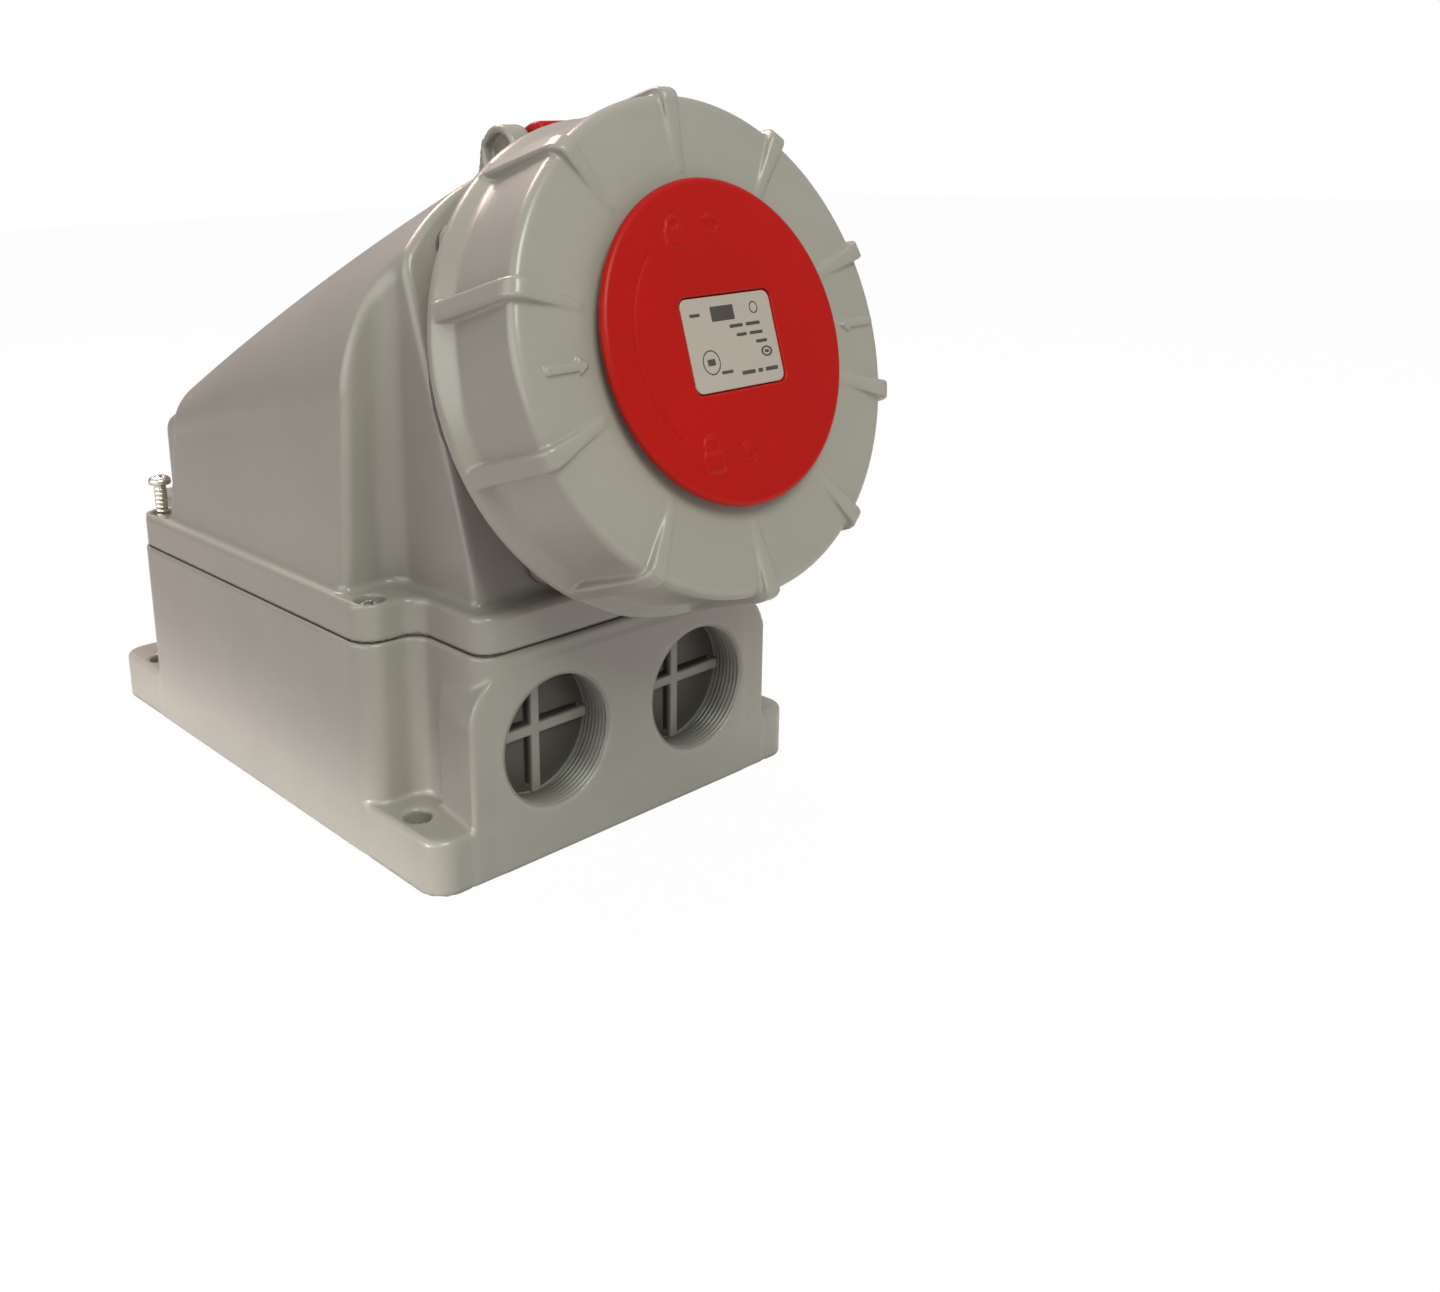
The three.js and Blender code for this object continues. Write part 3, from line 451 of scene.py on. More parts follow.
def entry_thread(sign):
    """Vertices and faces of a threaded liner: a helical ridge inside and a plain cylinder outside."""
    around = 120
    rows = np.linspace(0, 1, int(THREAD_TURNS * 10))
    angles = np.arange(around) * 2 * math.pi / around
    along, angle = np.meshgrid(rows * THREAD_TURNS * ENTRY_PITCH, angles, indexing="ij")
    phase = (along / ENTRY_PITCH + angle / (2 * math.pi)) % 1
    valley = np.clip(2.4 * np.abs(phase - 0.5) - 0.1, 0, 1)
    radius = ENTRY_CORE + (ENTRY_MOUTH - 0.15 - ENTRY_CORE) * valley
    y = -BOX_HALF_Y + 0.2 + along
    inner = np.stack([sign * ENTRY_X + radius * np.cos(angle), y, ENTRY_Z + radius * np.sin(angle)], axis=2)
    sleeve = ENTRY_MOUTH + 0.8
    outer_x, outer_z = sign * ENTRY_X + sleeve * np.cos(angles), ENTRY_Z + sleeve * np.sin(angles)
    ends = [np.stack([outer_x, np.full(around, v), outer_z], axis=1) for v in (y[-1, 0], y[0, 0])]
    vertices = np.concatenate([inner.reshape(-1, 3), *ends])
    count = len(rows) + 2
    faces = []
    for k in range(count):
        here, after = k * around, (k + 1) % count * around
        for i in range(around):
            j = (i + 1) % around
            faces.append((here + i, after + i, after + j, here + j))
    return vertices, faces


def knock_out(sign):
    """Membrane across a cable entry, with a raised cross and thin tear grooves beside its arms."""
    front = -BOX_HALF_Y + ENTRY_DEPTH

    def distance(x, y, z):
        u, v = x - sign * ENTRY_X, z - ENTRY_Z
        r = np.hypot(u, v)
        membrane = meet(0.3, r - ENTRY_CORE - 1.0, span(y, front + MEMBRANE_FRONT, front + MEMBRANE_BACK))
        cross = np.minimum(np.abs(u), np.abs(v)) - CROSS_HALF_WIDTH
        cross = meet(0.5, cross, r - ENTRY_CORE - 0.9, span(y, front - 0.8, front + 2))
        body = merge(0.4, membrane, cross)
        grooves = [
            meet(0.1, span(u, -2.8, -1.7), span(v, 1.7, 13)),
            meet(0.1, span(v, 1.7, 2.8), span(u, -14, -1.7)),
            meet(0.1, span(v, 1.7, 2.8), span(u, 2.5, 18)),
            meet(0.1, span(u, -2.8, -1.7), span(v, -18, -2.5)),
        ]
        return carve(0.15, body, *[meet(0.1, groove, y - front - 3) for groove in grooves])

    return distance


# ---------------------------------------------------------------- hood
def hood_outline(x, y):
    """Hood seen from above: wide between the screw channels and narrower past them."""
    return merge(8, rect(x, y, HOOD_HALF_X, CHANNEL_Y, 4), rect(x, y, TAIL_HALF_X, HOOD_BACK_Y, 3.5))


def roof_height(y):
    """Height of the roof's ridge, which falls away from the inlet."""
    t = np.minimum(y, CHANNEL_Y) - ROOF_START_Y
    return ROOF_START_Z - ROOF_SLOPE * t - ROOF_CURVE * t * t - TAIL_SLOPE * np.maximum(y - CHANNEL_Y, 0)


def shoulder(x, z, spring_x, spring_z, width, height, exponent):
    """Distance to a wall that turns into a roof over a corner of the given width and height."""
    u = np.maximum(np.abs(x) - spring_x + width, 0) / width
    v = np.maximum(z - spring_z, 0) / height
    power = u ** exponent + v ** exponent
    value = power ** (1 / exponent)
    safe = np.maximum(value, 1e-6)
    slope_u = (u / safe) ** (exponent - 1) / width
    slope_v = (v / safe) ** (exponent - 1) / height
    slope = np.maximum(np.hypot(slope_u, slope_v), 1e-3)
    return np.where(value > 1e-6, (value - 1) / slope, np.maximum(np.abs(x) - spring_x, z - spring_z - height))


def hood_walls(x, y, z):
    """Outside of the hood without its slanted face or its bottom.

    Away from the inlet, the walls turn into the roof lower down and over a smaller corner.
    """
    along = (y - CORNER_START_Y) / CORNER_RUN
    spring_z = CORNER_Z - CORNER_DROP * along
    risen = (z - FLANGE_TOP) / (spring_z - FLANGE_TOP)
    spring_x = CORNER_X + WALL_LEAN * np.clip(1 - risen, 0, 1.2)
    width = np.clip(CORNER_WIDTH - CORNER_NARROWING * along, 15, CORNER_X)
    exponent = np.clip(CORNER_POWER + POWER_GAIN * along, 1.75, 2.3)
    roof = roof_height(y)
    body = shoulder(x, z, spring_x, spring_z, width, roof - spring_z, exponent)
    body = meet(3, body, hood_outline(x, y))
    tail = shoulder(x, z, 53, roof - 9, TAIL_CORNER, 9, 2)
    return meet(2.5, body, np.minimum(tail, y - CHANNEL_Y))


def face_depth(x, y, z):
    """Distance in front of the hood's slanted face."""
    return (y - INLET_CENTRE[1]) * OUT[1] + (z - INLET_CENTRE[2]) * OUT[2] + FACE_DEPTH


def up_face(y, z):
    """Distance up the hood's slanted face from the inlet's axis."""
    return (y - INLET_CENTRE[1]) * UP_FACE[1] + (z - INLET_CENTRE[2]) * UP_FACE[2]


def hood(x, y, z):
    """Cover shell with a slanted face, a bore for the inlet and a flange with four screw seats."""
    walls = hood_walls(x, y, z)
    ahead = face_depth(x, y, z)
    body = meet(1.6, meet(2.6, walls, ahead), HOOD_BOTTOM + 2 - z)
    flange = meet(0.3, meet(1.9, box_outline(x, y) + FLANGE_INSET, z - FLANGE_TOP), HOOD_BOTTOM - z)
    side, lug_y = np.abs(x), beyond_lug(y)
    from_screw = circle(side, lug_y, 0, (LUG_X, 0))
    rim = meet(0.4, from_screw - SEAT_RIM_R, span(z, HOOD_BOTTOM + 1, FLANGE_TOP))
    body = merge(2.2, body, merge(0.3, flange, rim))
    hollow = np.maximum(walls + HOOD_WALL, ahead + HOOD_WALL + 0.5)
    bore = np.maximum(np.hypot(x, up_face(y, z)) - HOOD_BORE_R, -12 - ahead)
    seat = circle(side, lug_y, SEAT_R, (LUG_X - 0.2, -0.2))
    seat = np.maximum(seat, span(z, FLANGE_TOP - SEAT_DEPTH, FLANGE_TOP + 1.5))
    body = np.maximum(body, -hollow)
    return carve(0.4, body, bore, from_screw - 2.8, seat)


# ---------------------------------------------------------------- inlet flange, shroud and contacts
def flange_screw_places():
    """Axes of the four flange screws, in the inlet frame."""
    return [(FLANGE_SCREW_R * math.cos(math.radians(a)), FLANGE_SCREW_R * math.sin(math.radians(a)))
            for a in FLANGE_SCREW_ANGLES]


def hinge_profile(y, z):
    """Side view of a hinge ear and its foot on the flange."""
    ear = circle(z, y, EAR_R, (HINGE_Z, HINGE_Y))
    foot = polygon(z, y, [
        (PLATE_BACK, 40), (PLATE_FRONT + 6, 40), (-43.4, 63), (-47, 66), (-55.6, 70.7), (PLATE_BACK, 60)])
    return merge(2, ear, foot)


def inlet_flange(x, y, z):
    """Lobed plate with a collar, three bayonet ramps and two hinge ears hollowed on their outer sides."""
    r = np.hypot(x, y)
    screws = [circle(x, y, 0, place) for place in flange_screw_places()]
    lobes = np.minimum.reduce(screws)
    plate = meet(1, merge(3, r - FLANGE_R, lobes - FLANGE_LOBE_R), span(z, PLATE_BACK, PLATE_FRONT))
    saddle = meet(0.8, rect(x, y - 46, EAR_X, 4.5, 1), span(z, PLATE_BACK, PLATE_FRONT))
    collar = meet(0.8, r - COLLAR_OUTER, span(z, PLATE_FRONT - 1, COLLAR_FRONT))
    ears = meet(0.7, hinge_profile(y, z), span(np.abs(x), BARREL_HALF_X + 0.6, EAR_X))
    body = merge(1.5, merge(1.5, plate, saddle), collar, ears)
    for angle in LUG_ANGLES:
        ramp = sector(x, y, COLLAR_OUTER - 1, RAMP_R, angle - LOCK_TURN, 14)
        body = merge(0.6, body, meet(0.4, ramp, span(z, RAMP_BACK, RAMP_FRONT)))
    pocket = meet(1.5, hinge_profile(y, z) + 2.2, PLATE_FRONT + 2 - z)
    ear_pocket = np.maximum(pocket, EAR_X - 3 - np.abs(x))
    tools = [
        np.maximum(r - COLLAR_INNER, PLATE_FRONT - z),
        r - SHROUD_OUTER - 0.5,
        np.maximum(r - 45, z - PLATE_BACK - 2.6),
        np.maximum(circle(y, z, PIN_R + 0.1, (HINGE_Y, HINGE_Z)), -EAR_X + 3.6 - x),
        ear_pocket,
        lobes - 2.4,
        np.maximum(lobes - 4.6, PLATE_FRONT - 1.5 - z),
    ]
    return carve(0.4, body, *tools)


def inlet_shroud(x, y, z):
    """Tube round the pins, with a clamping lip and a keyway at its lowest point."""
    r = np.hypot(x, y)
    tube = meet(0.7, span(r, SHROUD_INNER, SHROUD_OUTER), span(z, SHROUD_BACK, SHROUD_FRONT))
    lip = meet(0.3, span(r, SHROUD_INNER + 1, SHROUD_LIP_R), span(z, PLATE_BACK + 0.2, PLATE_BACK + 2.4))
    key = meet(0.6, sector(x, y, SHROUD_INNER + 1, KEY_R, -90, 9), span(z, PLATE_FRONT + 0.6, SHROUD_FRONT))
    keyway = meet(0.3, rect(x, y + SHROUD_INNER, 4, 4, 0.4), KEYWAY_BACK - z, r - KEYWAY_R)
    return carve(0.4, merge(0.8, tube, lip, key), keyway)


PINS = {"l1": (180, 4), "l2": (90, 4), "l3": (0, 4), "earth": (-90, 5)}      # degrees about the axis, and radius


def pin_centre(angle):
    """Axis of the power pin at an angle round the inlet."""
    turn = math.radians(angle)
    return PIN_CIRCLE_R * math.cos(turn), PIN_CIRCLE_R * math.sin(turn)


def contact_carrier(x, y, z):
    """Disc that holds the pins, with a shallow groove round each."""
    body = meet(0.8, np.hypot(x, y) - SHROUD_INNER + 0.3, span(z, SHROUD_BACK, CARRIER_FRONT))
    holes = [circle(x, y, radius + 0.3, pin_centre(angle)) for angle, radius in PINS.values()]
    rings = [span(circle(x, y, radius + 2.6, pin_centre(angle)), -0.5, 0.5) for angle, radius in PINS.values()]
    rings = [np.maximum(ring, CARRIER_FRONT - 0.7 - z) for ring in rings]
    return carve(0.4, body, circle(x, y, 3.3), *holes, *rings)


def pin_profile(radius, tip, terminal_r, terminal_length):
    """Profile of a round-nosed pin with a hollow wire terminal behind its shoulder."""
    shoulder = SHROUD_BACK - 0.3
    end = shoulder - terminal_length
    bore = terminal_r - 2.2
    dome = [(radius * math.cos(t), tip - radius * 0.6 * (1 - math.sin(t))) for t in np.linspace(0, 1.5, 9)]
    return [
        (0.01, shoulder - 5), (bore, shoulder - 5), (bore, end + 0.4), (bore + 0.4, end),
        (terminal_r - 0.4, end), (terminal_r, end + 0.4), (terminal_r, shoulder - 0.4),
        (terminal_r - 0.4, shoulder), (radius, shoulder), *dome, (0.01, tip),
    ]


# ---------------------------------------------------------------- screws
SCREW_PITCH, SCREW_RIDGE = 1.6, 0.55
COVER_SCREW = {"head_r": 4, "head_h": 3.4, "shank_r": 2.4, "length": 25}
FLANGE_SCREW = {"head_r": 4, "head_h": 2.8, "shank_r": 1.6, "length": 11.5}


def screw(head_r, head_h, shank_r, length):
    """Pan-head screw with a cross recess and a thread that starts under the head."""
    def distance(x, y, z):
        r = np.hypot(x, y)
        ball = head_r * 1.5
        head = meet(0.5, r - head_r, span(z, 0, head_h + 1), np.hypot(r, z - head_h + ball) - ball)
        arm, half_width = head_r * 0.62, head_r * 0.14
        cross = np.minimum(rect(x, y, arm, half_width, 0.1), rect(x, y, half_width, arm, 0.1))
        recess = np.maximum(cross, head_h * 0.4 - z)
        phase = (z / SCREW_PITCH + np.arctan2(y, x) / (2 * math.pi)) % 1
        ridge = np.clip(0.5 - np.abs(phase - 0.5) * 1.6, 0, 1) * SCREW_RIDGE
        thread = (r - shank_r + 0.32 - np.where(z < -1, ridge, 0)) * 0.8
        shank = meet(0.2, thread, z - 0.5, -length - z)
        return carve(0.12, merge(0.3, head, shank), recess)

    return distance


# ---------------------------------------------------------------- lid and locking ring
RIB_SHAPE = [                     # side view of a rib: radius and z
    (64, -34.4), (70, -34.4), (68.8, -8), (68.5, -6), (67.8, -4.4), (66.6, -3.2), (65, -2.7), (46, -4.9),
    (44, -6), (62, -6.6), (64, -10),
]


def arrow(x, y, centre, towards):
    """Arrow 14 mm long with its middle at centre, which points to +x or -x as towards is 1 or -1."""
    u = (x - centre) * towards
    return polygon(u, y, [(-7, -1.2), (3.4, -1.2), (3.4, -2.4), (7, 0), (3.4, 2.4), (3.4, 1.2), (-7, 1.2)])


def locking_ring(x, y, z):
    """Cup-shaped ring with ten ribs, two arrows, a flared rear rim and three inner lugs."""
    r = np.hypot(x, y)
    drum = meet(2.6, r - RING_WALL, z - RING_FRONT)
    flare = ((r - RING_WALL) * FLARE_RUN + (z - FLARE_Z) * FLARE_RISE) / FLARE_LENGTH
    body = meet(0.5, merge(0.8, drum, meet(0.5, flare, r - RING_RIM, z + 28)), RING_BACK - z)
    step = 2 * math.pi / RIB_COUNT
    angle = (np.arctan2(y, x) - math.pi / 2 + step / 2) % step - step / 2
    half_width = RIB_HALF_WIDTH - 0.07 * np.clip(RING_WALL - r, 0, 20)
    rib = meet(0.9, polygon(r * np.cos(angle), z, RIB_SHAPE), np.abs(r * np.sin(angle)) - half_width)
    body = merge(0.7, body, rib)
    raised = np.minimum(arrow(x, y, -52.2, 1), arrow(x, y, 57, -1))
    body = merge(0.3, body, meet(0.3, raised, span(z, RING_FRONT - 1, RING_FRONT + 0.9)))
    cavity = meet(2.2, r - RING_INNER, z - RING_FRONT + 3.6)
    body = carve(0.6, body, cavity, r - RING_HOLE)
    for lug_angle in LUG_ANGLES:
        lug = sector(x, y, LUG_INNER, RING_INNER + 1, lug_angle, 8)
        body = merge(0.6, body, meet(0.5, lug, span(z, LUG_BACK, LUG_FRONT)))
    return body


def padlock(x, y, closed):
    """Padlock outline: a body with a shackle, lifted on one side when open."""
    lift = 0 if closed else 1.6
    case = rect(x, y + 1.8, 3.4, 2.6, 0.5)
    shackle = np.maximum(span(np.hypot(x, y - 1.2 - lift), 1.5, 2.6), 1.2 + lift - y)
    legs = np.maximum(span(np.abs(x), 1.5, 2.6), span(y, 0.2 + lift * 0.9, 1.6 + lift))
    left_leg = np.maximum(span(x, -2.6, -1.5), span(y, 0, 1.8 + lift))
    return np.minimum(np.minimum(case, shackle), np.minimum(legs, left_leg))


def lid_disc(x, y, z):
    """Disc with a pocket for the rating plate, an arc-shaped step, two padlock signs and two turning arrows."""
    r = np.hypot(x, y)
    face = meet(1.6, r - DISC_R, span(z, -3, 0))
    hub = meet(0.5, r - HUB_R, span(z, HUB_BACK, -2))
    body = merge(0.4, face, hub)
    pocket = meet(0.2, rect(x - PLATE_X, y - PLATE_Y, PLATE_HALF_W + 0.4, PLATE_HALF_H + 0.4, PLATE_R), -1.2 - z)
    angle = np.degrees(np.arctan2(y, x)) % 360
    in_arc = np.maximum(133 - angle, angle - 223) * 0.5
    step = meet(0.15, span(r, 33.1, 33.7), in_arc, -0.45 - z)
    rear = np.maximum(r - 10.2, z + 4.5)
    body = carve(0.3, body, pocket, rear)
    body = carve(0.2, body, step)
    marks = [padlock(x + 12.5, y - 29.5, True), padlock(x + 15, y + 28, False)]
    for x0, y0 in ((1.5, 30), (-1.5, -29.5)):
        u, v = x - x0, y - y0
        curl = np.maximum(span(np.hypot(u, v), 1.7, 2.5), -u - 1.4)
        tip = polygon(u, v, [(-3.0, 2.1), (-0.6, 3.8), (-0.6, 0.4)])
        marks.append(np.minimum(curl, tip))
    for mark in marks:
        body = merge(0.15, body, meet(0.15, mark, span(z, -0.6, 0.45)))
    return body


def lid_carrier(x, y, z):
    """Round plate behind the disc, with an arm that reaches back to a barrel on the hinge pin."""
    r = np.hypot(x, y)
    half = BARREL_HALF_X
    plate = meet(0.7, r - LID_PLATE_R, span(z, LID_PLATE_BACK, LID_PLATE_FRONT))
    boss = meet(0.4, r - 9.9, span(z, -10, -4.9))
    reach = meet(1, rect(x, y - 56, half, 2.5, 1), span(z, ARM_BACK, LID_PLATE_FRONT))
    rise = meet(1.6, rect(x, y - 62.55, half, 9.05, 1.6), span(z, ARM_BACK, ARM_BACK + 6))
    bridge = meet(0.8, rect(x, y - HINGE_Y, half, BARREL_R, 0.8), span(z, -49, -42))
    barrel = meet(0.8, circle(y, z, BARREL_R, (HINGE_Y, HINGE_Z)), np.abs(x) - half)
    body = merge(1.2, plate, boss, reach, rise, bridge, barrel)
    spring_room = np.maximum(circle(y, z, BARREL_R + 0.6, (HINGE_Y, HINGE_Z)), np.abs(x) - 6.8)
    return carve(0.4, body, circle(y, z, PIN_R + 0.15, (HINGE_Y, HINGE_Z)), spring_room)


def lid_gasket(x, y, z):
    """Flat seal with a raised bead."""
    r = np.hypot(x, y)
    body = meet(0.5, span(r, LID_SEAL_INNER, LID_SEAL_OUTER), span(z, LID_SEAL_BACK, LID_PLATE_BACK - 0.1))
    return merge(0.2, body, np.hypot(r - 48, z + 17.2) - 0.9)


PRINT_BARS = (                    # offset left, up, half width and half height of each bar, mm
    (2.0, 7.6, 4.4, 2.0), (12.2, 7.8, 1.9, 0.5),
    (-2.2, 3.9, 2.6, 0.5), (-8.6, 3.9, 2.8, 0.5),
    (-3.6, 1.4, 2.0, 0.5), (-9.2, 1.4, 2.6, 0.5),
    (-10.6, -1.0, 2.2, 0.5), (9.5, -4.6, 1.5, 0.9), (-11.8, -3.9, 0.9, 0.4),
    (4.4, -7.6, 2.2, 0.45), (-3.4, -8.6, 2.6, 0.6), (-8.0, -8.6, 1.0, 0.6), (-12.4, -8.6, 2.5, 0.6),
)


def rating_plate(x, y, z):
    """Thin plate with rounded corners in the disc's pocket."""
    return meet(0.15, rect(x - PLATE_X, y - PLATE_Y, PLATE_HALF_W, PLATE_HALF_H, PLATE_R), span(z, -1.1, -0.4))


def label_print(x, y, z):
    """Plain bars, a ring and an oval where a plate carries its print, with no letters."""
    u, v = x - PLATE_X, y - PLATE_Y
    marks = [rect(u + a, v - b, half_w, half_h, 0.2) for a, b, half_w, half_h in PRINT_BARS]
    ring = span(np.hypot(u + 9.5, v + 4.6), 2.8, 3.3)
    oval = (np.hypot((u - 11.8) / 1.5, v + 3.9) - 1.5) * 0.8
    oval = np.maximum(oval, -oval - 0.5)
    badge = span(np.hypot(u - 10, v - 8), 1.2, 1.7)
    return meet(0.05, np.minimum.reduce([*marks, ring, oval, badge]), span(z, -0.9, -0.33))


def hinge_pin(x, y, z):
    """Pin with a flat head at its right-hand end."""
    r = circle(y, z, 0, (HINGE_Y, HINGE_Z))
    shaft = meet(0.4, r - PIN_R, span(x, -EAR_X + 4, EAR_X - 0.6))
    head = meet(0.6, r - PIN_HEAD_R, span(x, EAR_X - 2.6, EAR_X - 0.6))
    return merge(0.2, shaft, head)


def hinge_spring():
    """Vertices and faces of a round wire wound round the hinge pin."""
    steps, sides = 200, 12
    t = np.linspace(0, 1, steps + 1)
    turn = 2 * math.pi * SPRING_TURNS * t
    coil_y, coil_z = HINGE_Y + SPRING_R * np.cos(turn), HINGE_Z + SPRING_R * np.sin(turn)
    centre = np.stack([SPRING_HALF_X * (2 * t - 1), coil_y, coil_z], axis=1)
    outward = np.stack([0 * t, np.cos(turn), np.sin(turn)], axis=1)
    across = np.array([1, 0, 0])
    around = np.arange(sides) * 2 * math.pi / sides
    rings = [centre + SPRING_WIRE_R * (math.cos(a) * outward + math.sin(a) * across) for a in around]
    vertices = np.stack(rings, axis=1).reshape(-1, 3)
    faces = []
    for k in range(steps):
        for i in range(sides):
            j = (i + 1) % sides
            faces.append((k * sides + i, k * sides + j, (k + 1) * sides + j, (k + 1) * sides + i))
    faces.append(tuple(range(sides))[::-1])
    faces.append(tuple(range(steps * sides, (steps + 1) * sides)))
    return vertices, faces


# ---------------------------------------------------------------- pieces
def build_box():
    """The base box with its cable entries, the hood, and the four screws that hold them together."""
    moulded("base_box_shell", base_box, (-76, -106, -2), (76, 106, 69), 1.0, "grey_plastic", "enclosure",
            "base_box")
    for side, sign in (("left", -1), ("right", 1)):
        vertices, faces = entry_thread(sign)
        thread = mesh_object(f"cable_entry_thread_{side}", vertices, faces, ROW_FRAME)
        # the liner's material paints shade deeper in the entry
        finish_piece(thread, "grey_plastic", "enclosure", "base_box", THREAD_PAINTED_SHADE)
        x = sign * ENTRY_X
        low, high = (x - 22, -96, ENTRY_Z - 22), (x + 22, -88, ENTRY_Z + 22)
        # the knock-out's material paints shade on the membrane
        moulded(f"knock_out_{side}", knock_out(sign), low, high, 0.45, "grey_plastic", "enclosure", "base_box",
                material=WEB_PAINTED_SHADE)
    moulded("hood_shell", hood, (-76, -106, 65), (76, 106, 200), 0.9, "grey_plastic", "enclosure", "hood")
    for name, (x, y) in LUGS.items():
        undone = name == "back_left"
        seat = FLANGE_TOP - COVER_SCREW_SEAT + (COVER_SCREW_PROUD if undone else 0)
        body = "back_left_screw" if undone else "enclosure"
        place = Matrix.Translation((x / 1000, y / 1000, seat / 1000))
        moulded(f"threaded_screw_{name}", screw(**COVER_SCREW), (-5, -5, -26), (5, 5, 5), 0.3, "zinc_steel",
                body, f"cover_screw_{name}", place)


def build_inlet():
    """The fixed parts round the inlet's axis: flange, tube, pins, screws, hinge pin and spring."""
    moulded("flange_moulding", inlet_flange, (-60, -60, -65), (60, 76, -16), 0.9, "grey_plastic", "enclosure",
            "inlet_flange", INLET_FRAME)
    moulded("shroud_moulding", inlet_shroud, (-46, -46, -98), (46, 46, -16), 0.9, "red_plastic", "enclosure",
            "inlet_shroud", INLET_FRAME)
    moulded("carrier_moulding", contact_carrier, (-37, -37, -98), (37, 37, -74), 0.8, "dark_plastic", "enclosure",
            "contact_carrier", INLET_FRAME)
    for i, (x, y) in enumerate(flange_screw_places(), 1):
        offset = (x / 1000, y / 1000, (PLATE_FRONT - 1.2) / 1000)
        moulded(f"flange_screw_{i}_threaded", screw(**FLANGE_SCREW), (-5, -5, -13), (5, 5, 4), 0.35,
                "zinc_steel", "enclosure", f"flange_screw_{i}", INLET_FRAME @ Matrix.Translation(offset))
    for name, (angle, radius) in PINS.items():
        x, y = pin_centre(angle)
        vertices, faces = lathe(pin_profile(radius, PIN_TIP, 6.6, 20))
        pin = mesh_object(f"turned_pin_{name}", vertices + np.array([x, y, 0]), faces, INLET_FRAME)
        finish_piece(pin, "brass", "enclosure", f"pin_{name}")
    pilot = mesh_object("turned_pin_pilot", *lathe(pin_profile(3, PILOT_TIP, 4.6, 14)), INLET_FRAME)
    finish_piece(pilot, "brass", "enclosure", "pin_pilot")
    moulded("headed_hinge_pin", hinge_pin, (-24, 61, -55), (24, 71, -45), 0.5, "zinc_steel", "enclosure",
            "hinge_pin", INLET_FRAME)
    finish_piece(mesh_object("wound_spring", *hinge_spring(), INLET_FRAME), "spring_steel", "enclosure",
                 "hinge_spring")


def build_lid():
    """The parts that swing on the hinge, and the ring that turns on them."""
    moulded("lid_back", lid_carrier, (-59, -59, -58), (59, 74, -3), 0.9, "red_plastic", "lid", "lid_carrier",
            INLET_FRAME)
    moulded("lid_seal", lid_gasket, (-53, -53, -20), (53, 53, -11), 0.6, "seal_rubber", "lid", "lid_gasket",
            INLET_FRAME)
    moulded("lid_front", lid_disc, (-45, -45, -11), (45, 45, 2), 0.5, "red_plastic", "lid", "lid_disc",
            INLET_FRAME)
    moulded("label_plate", rating_plate, (-18, -15, -2), (21, 15, 1), 0.3, "label", "lid", "rating_plate",
            INLET_FRAME)
    moulded("label_print", label_print, (-17, -14, -1.4), (19, 14, 0.4), 0.22, "label", "lid", "rating_plate",
            INLET_FRAME, INK)
    moulded("ring_moulding", locking_ring, (-72, -72, -38), (72, 72, -1), 0.65, "grey_plastic", "ring",
            "locking_ring", INLET_FRAME)


def dress_cad_nodes():
    """CAD nodes that stay as they are get their slot's material."""
    slots = {part["node"]: part["material_slot"] for part in frame["record"]["subparts"]}
    for name, node in frame["nodes"].items():
        node.data.materials.clear()
        node.data.materials.append(MATERIALS[slots[name]])


# ---------------------------------------------------------------- stage
WORLD_RANGE = (0.222, 0.60)       # radiance at the horizon and overhead
SIDE_PANEL = (3.2, 3.3, 3.1)      # radiance to the left, in reflections only
FLOOR_HALF, FLOOR_Z = 4000, -0.5  # mm
CAMERA_TURN = (-38.24, 15.40, -1.73)            # azimuth, elevation and roll, degrees
CAMERA_PLACE = (-0.2630, -0.3781, 0.2005)
CAMERA_LENS, CAMERA_SHIFT = 33.82, (0.1508, -0.0863)


def area_light(name, place, aim, size, power, colour, spread=180):
    """Rectangular lamp at place that shines towards aim."""
    light = bpy.data.lights.new(name, "AREA")
    light.shape = "RECTANGLE"
    light.size, light.size_y = size
    light.energy = power
    light.color = colour
    light.spread = math.radians(spread)
    lamp = bpy.data.objects.new(name, light)
    lamp.location = place
    lamp.visible_camera = False
    lamp.rotation_euler = (Vector(aim) - Vector(place)).to_track_quat("-Z", "Y").to_euler()
    bpy.context.scene.collection.objects.link(lamp)


def floor_material():
    """Pale floor that the camera sees nearly white and that gives the object only a little light from below."""
    material = surface("pale floor", (0.86, 0.86, 0.86), 0.7, grain=0.02, variation=0.01)
    tree = material.node_tree
    shown = add(tree, "ShaderNodeMixShader", {"Fac": 0.97})
    glow = add(tree, "ShaderNodeEmission", {"Color": (1, 1, 1, 1), "Strength": 1})
    dim = add(tree, "ShaderNodeBsdfDiffuse", {"Color": (0.68, 0.68, 0.68, 1)})
    final = add(tree, "ShaderNodeMixShader")
    path = add(tree, "ShaderNodeLightPath")
    tree.links.new(tree.nodes["Principled BSDF"].outputs["BSDF"], shown.inputs[1])
    tree.links.new(glow.outputs[0], shown.inputs[2])
    tree.links.new(path.outputs["Is Camera Ray"], final.inputs["Fac"])
    tree.links.new(dim.outputs[0], final.inputs[1])
    tree.links.new(shown.outputs[0], final.inputs[2])
    tree.links.new(final.outputs[0], tree.nodes["Material Output"].inputs["Surface"])
    return material


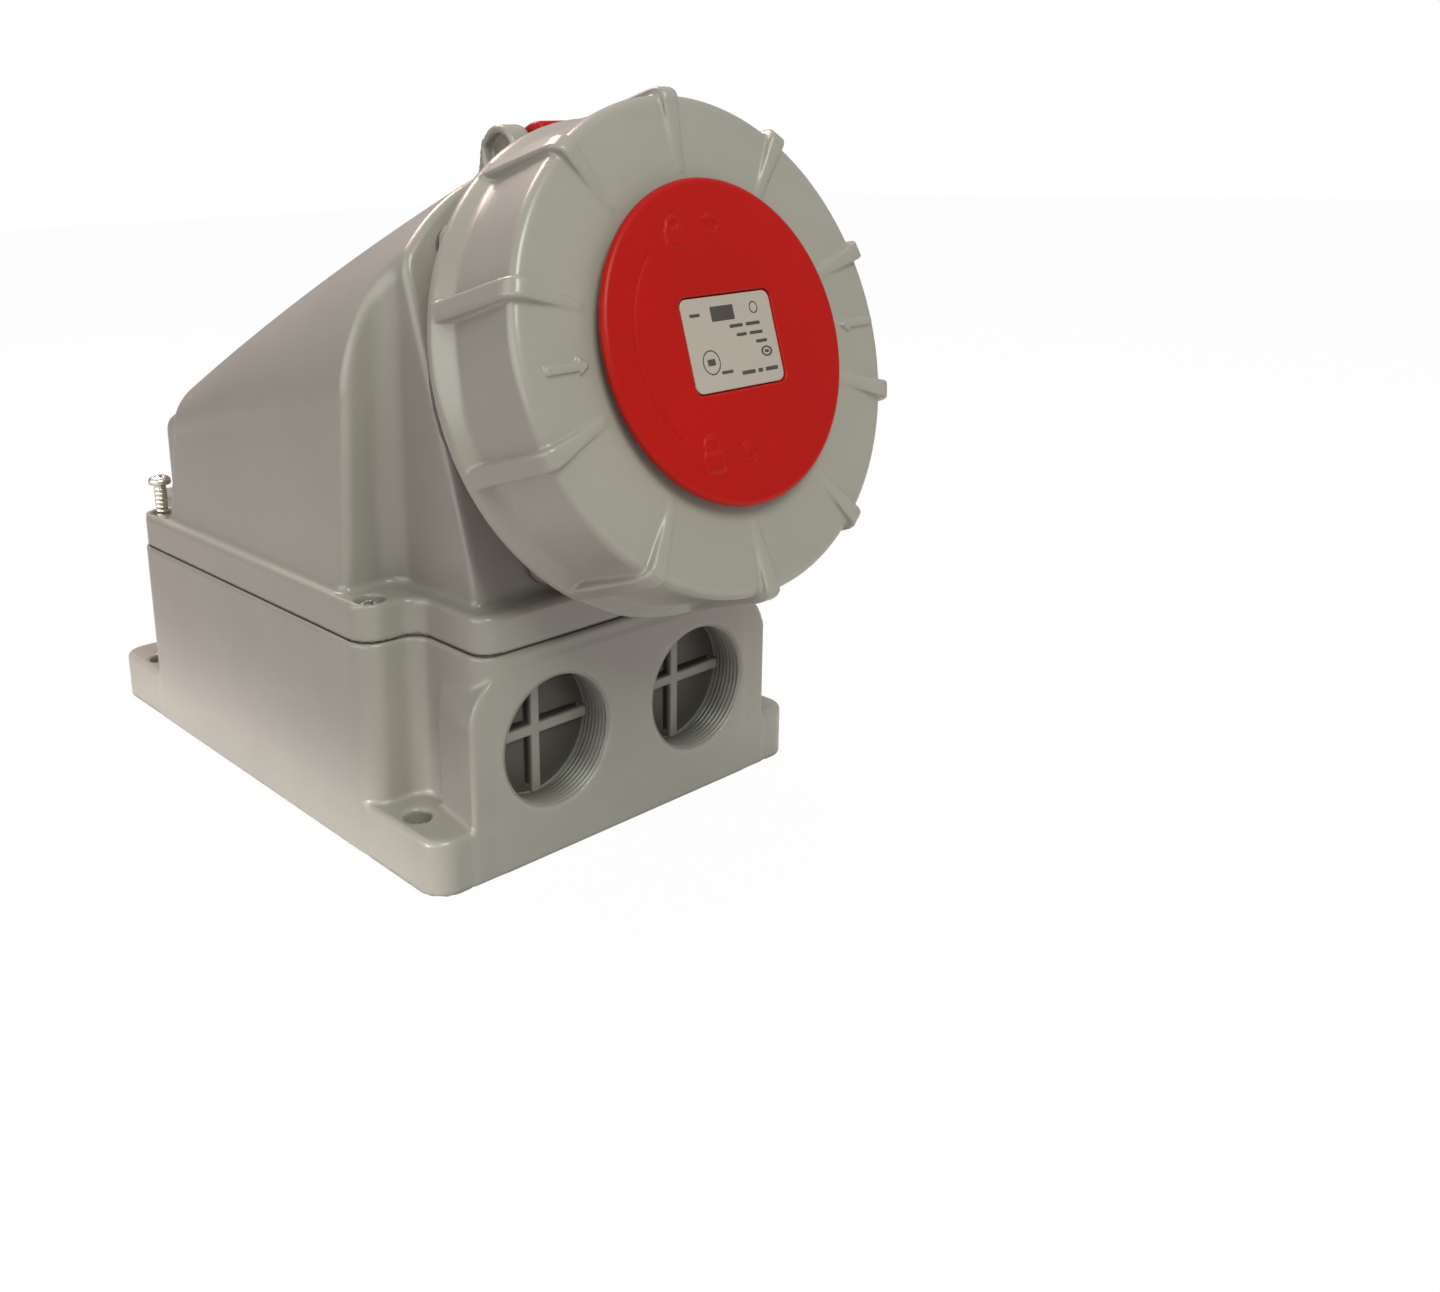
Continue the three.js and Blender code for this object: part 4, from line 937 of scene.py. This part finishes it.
def studio_world():
    """White behind the object and, for its light and reflections, dim at the horizon and brighter overhead."""
    world = bpy.data.worlds.new("studio")
    world.use_nodes = True
    tree = world.node_tree
    height = add(tree, "ShaderNodeSeparateXYZ")
    tree.links.new(add(tree, "ShaderNodeTexCoord").outputs["Generated"], height.inputs[0])
    dome = ranged(tree, height.outputs["Z"], -0.05, 0.9, *WORLD_RANGE)
    path = add(tree, "ShaderNodeLightPath")
    panel = add(tree, "ShaderNodeMath", operation="MULTIPLY")
    tree.links.new(ranged(tree, height.outputs["X"], -0.62, -0.88, 0, 1), panel.inputs[0])
    tree.links.new(path.outputs["Is Glossy Ray"], panel.inputs[1])
    lit = mixed(tree, panel.outputs[0], mixed(tree, dome, (0, 0, 0), (0.98, 0.97, 1.0)), SIDE_PANEL)
    colour = mixed(tree, path.outputs["Is Camera Ray"], lit, (1, 1, 1))
    tree.links.new(colour, tree.nodes["Background"].inputs["Color"])
    bpy.context.scene.world = world


def build_stage():
    corners = [(a * FLOOR_HALF, b * FLOOR_HALF, FLOOR_Z) for a, b in ((-1, -1), (1, -1), (1, 1), (-1, 1))]
    floor = mesh_object("floor", corners, [(0, 1, 2, 3)], ROW_FRAME)
    floor.data.materials.append(floor_material())
    studio_world()
    area_light("front key", (-0.32, -1.0, 1.12), (0, -0.1, 0.12), (0.65, 0.65), 12.5, (0.93, 1.0, 0.84))
    area_light("low side", (-0.42, 0.0, 0.02), (-0.07, 0, -0.01), (0.25, 0.03), 0.05, (1.0, 0.97, 0.96), spread=18)
    area_light("overhead rear", (0.08, 0.7, 1.0), (0, 0.05, 0.12), (0.5, 0.5), 9.5, (1.0, 0.74, 0.68))


def build_camera():
    """Camera to the left of the cable entries and a little above, with its lens shifted to frame the part."""
    azimuth, elevation, roll = (math.radians(v) for v in CAMERA_TURN)
    back = Vector((math.sin(azimuth) * math.cos(elevation), -math.cos(azimuth) * math.cos(elevation),
                   math.sin(elevation)))
    right = Vector((0, 0, 1)).cross(back).normalized()
    up = back.cross(right)
    camera_x = math.cos(roll) * right + math.sin(roll) * up
    camera_y = math.cos(roll) * up - math.sin(roll) * right
    lens = bpy.data.cameras.new("camera")
    lens.sensor_width = 36
    lens.lens = CAMERA_LENS
    lens.shift_x, lens.shift_y = CAMERA_SHIFT
    lens.clip_start = 0.01
    camera = bpy.data.objects.new("camera", lens)
    columns = (camera_x, camera_y, back, CAMERA_PLACE)
    camera.matrix_world = Matrix([[column[row] for column in columns] for row in range(3)] + [[0, 0, 0, 1]])
    bpy.context.scene.collection.objects.link(camera)
    bpy.context.scene.camera = camera


dress_cad_nodes()
build_box()
build_inlet()
build_lid()
build_stage()
build_camera()
bpy.context.scene.view_settings.view_transform = "Standard"
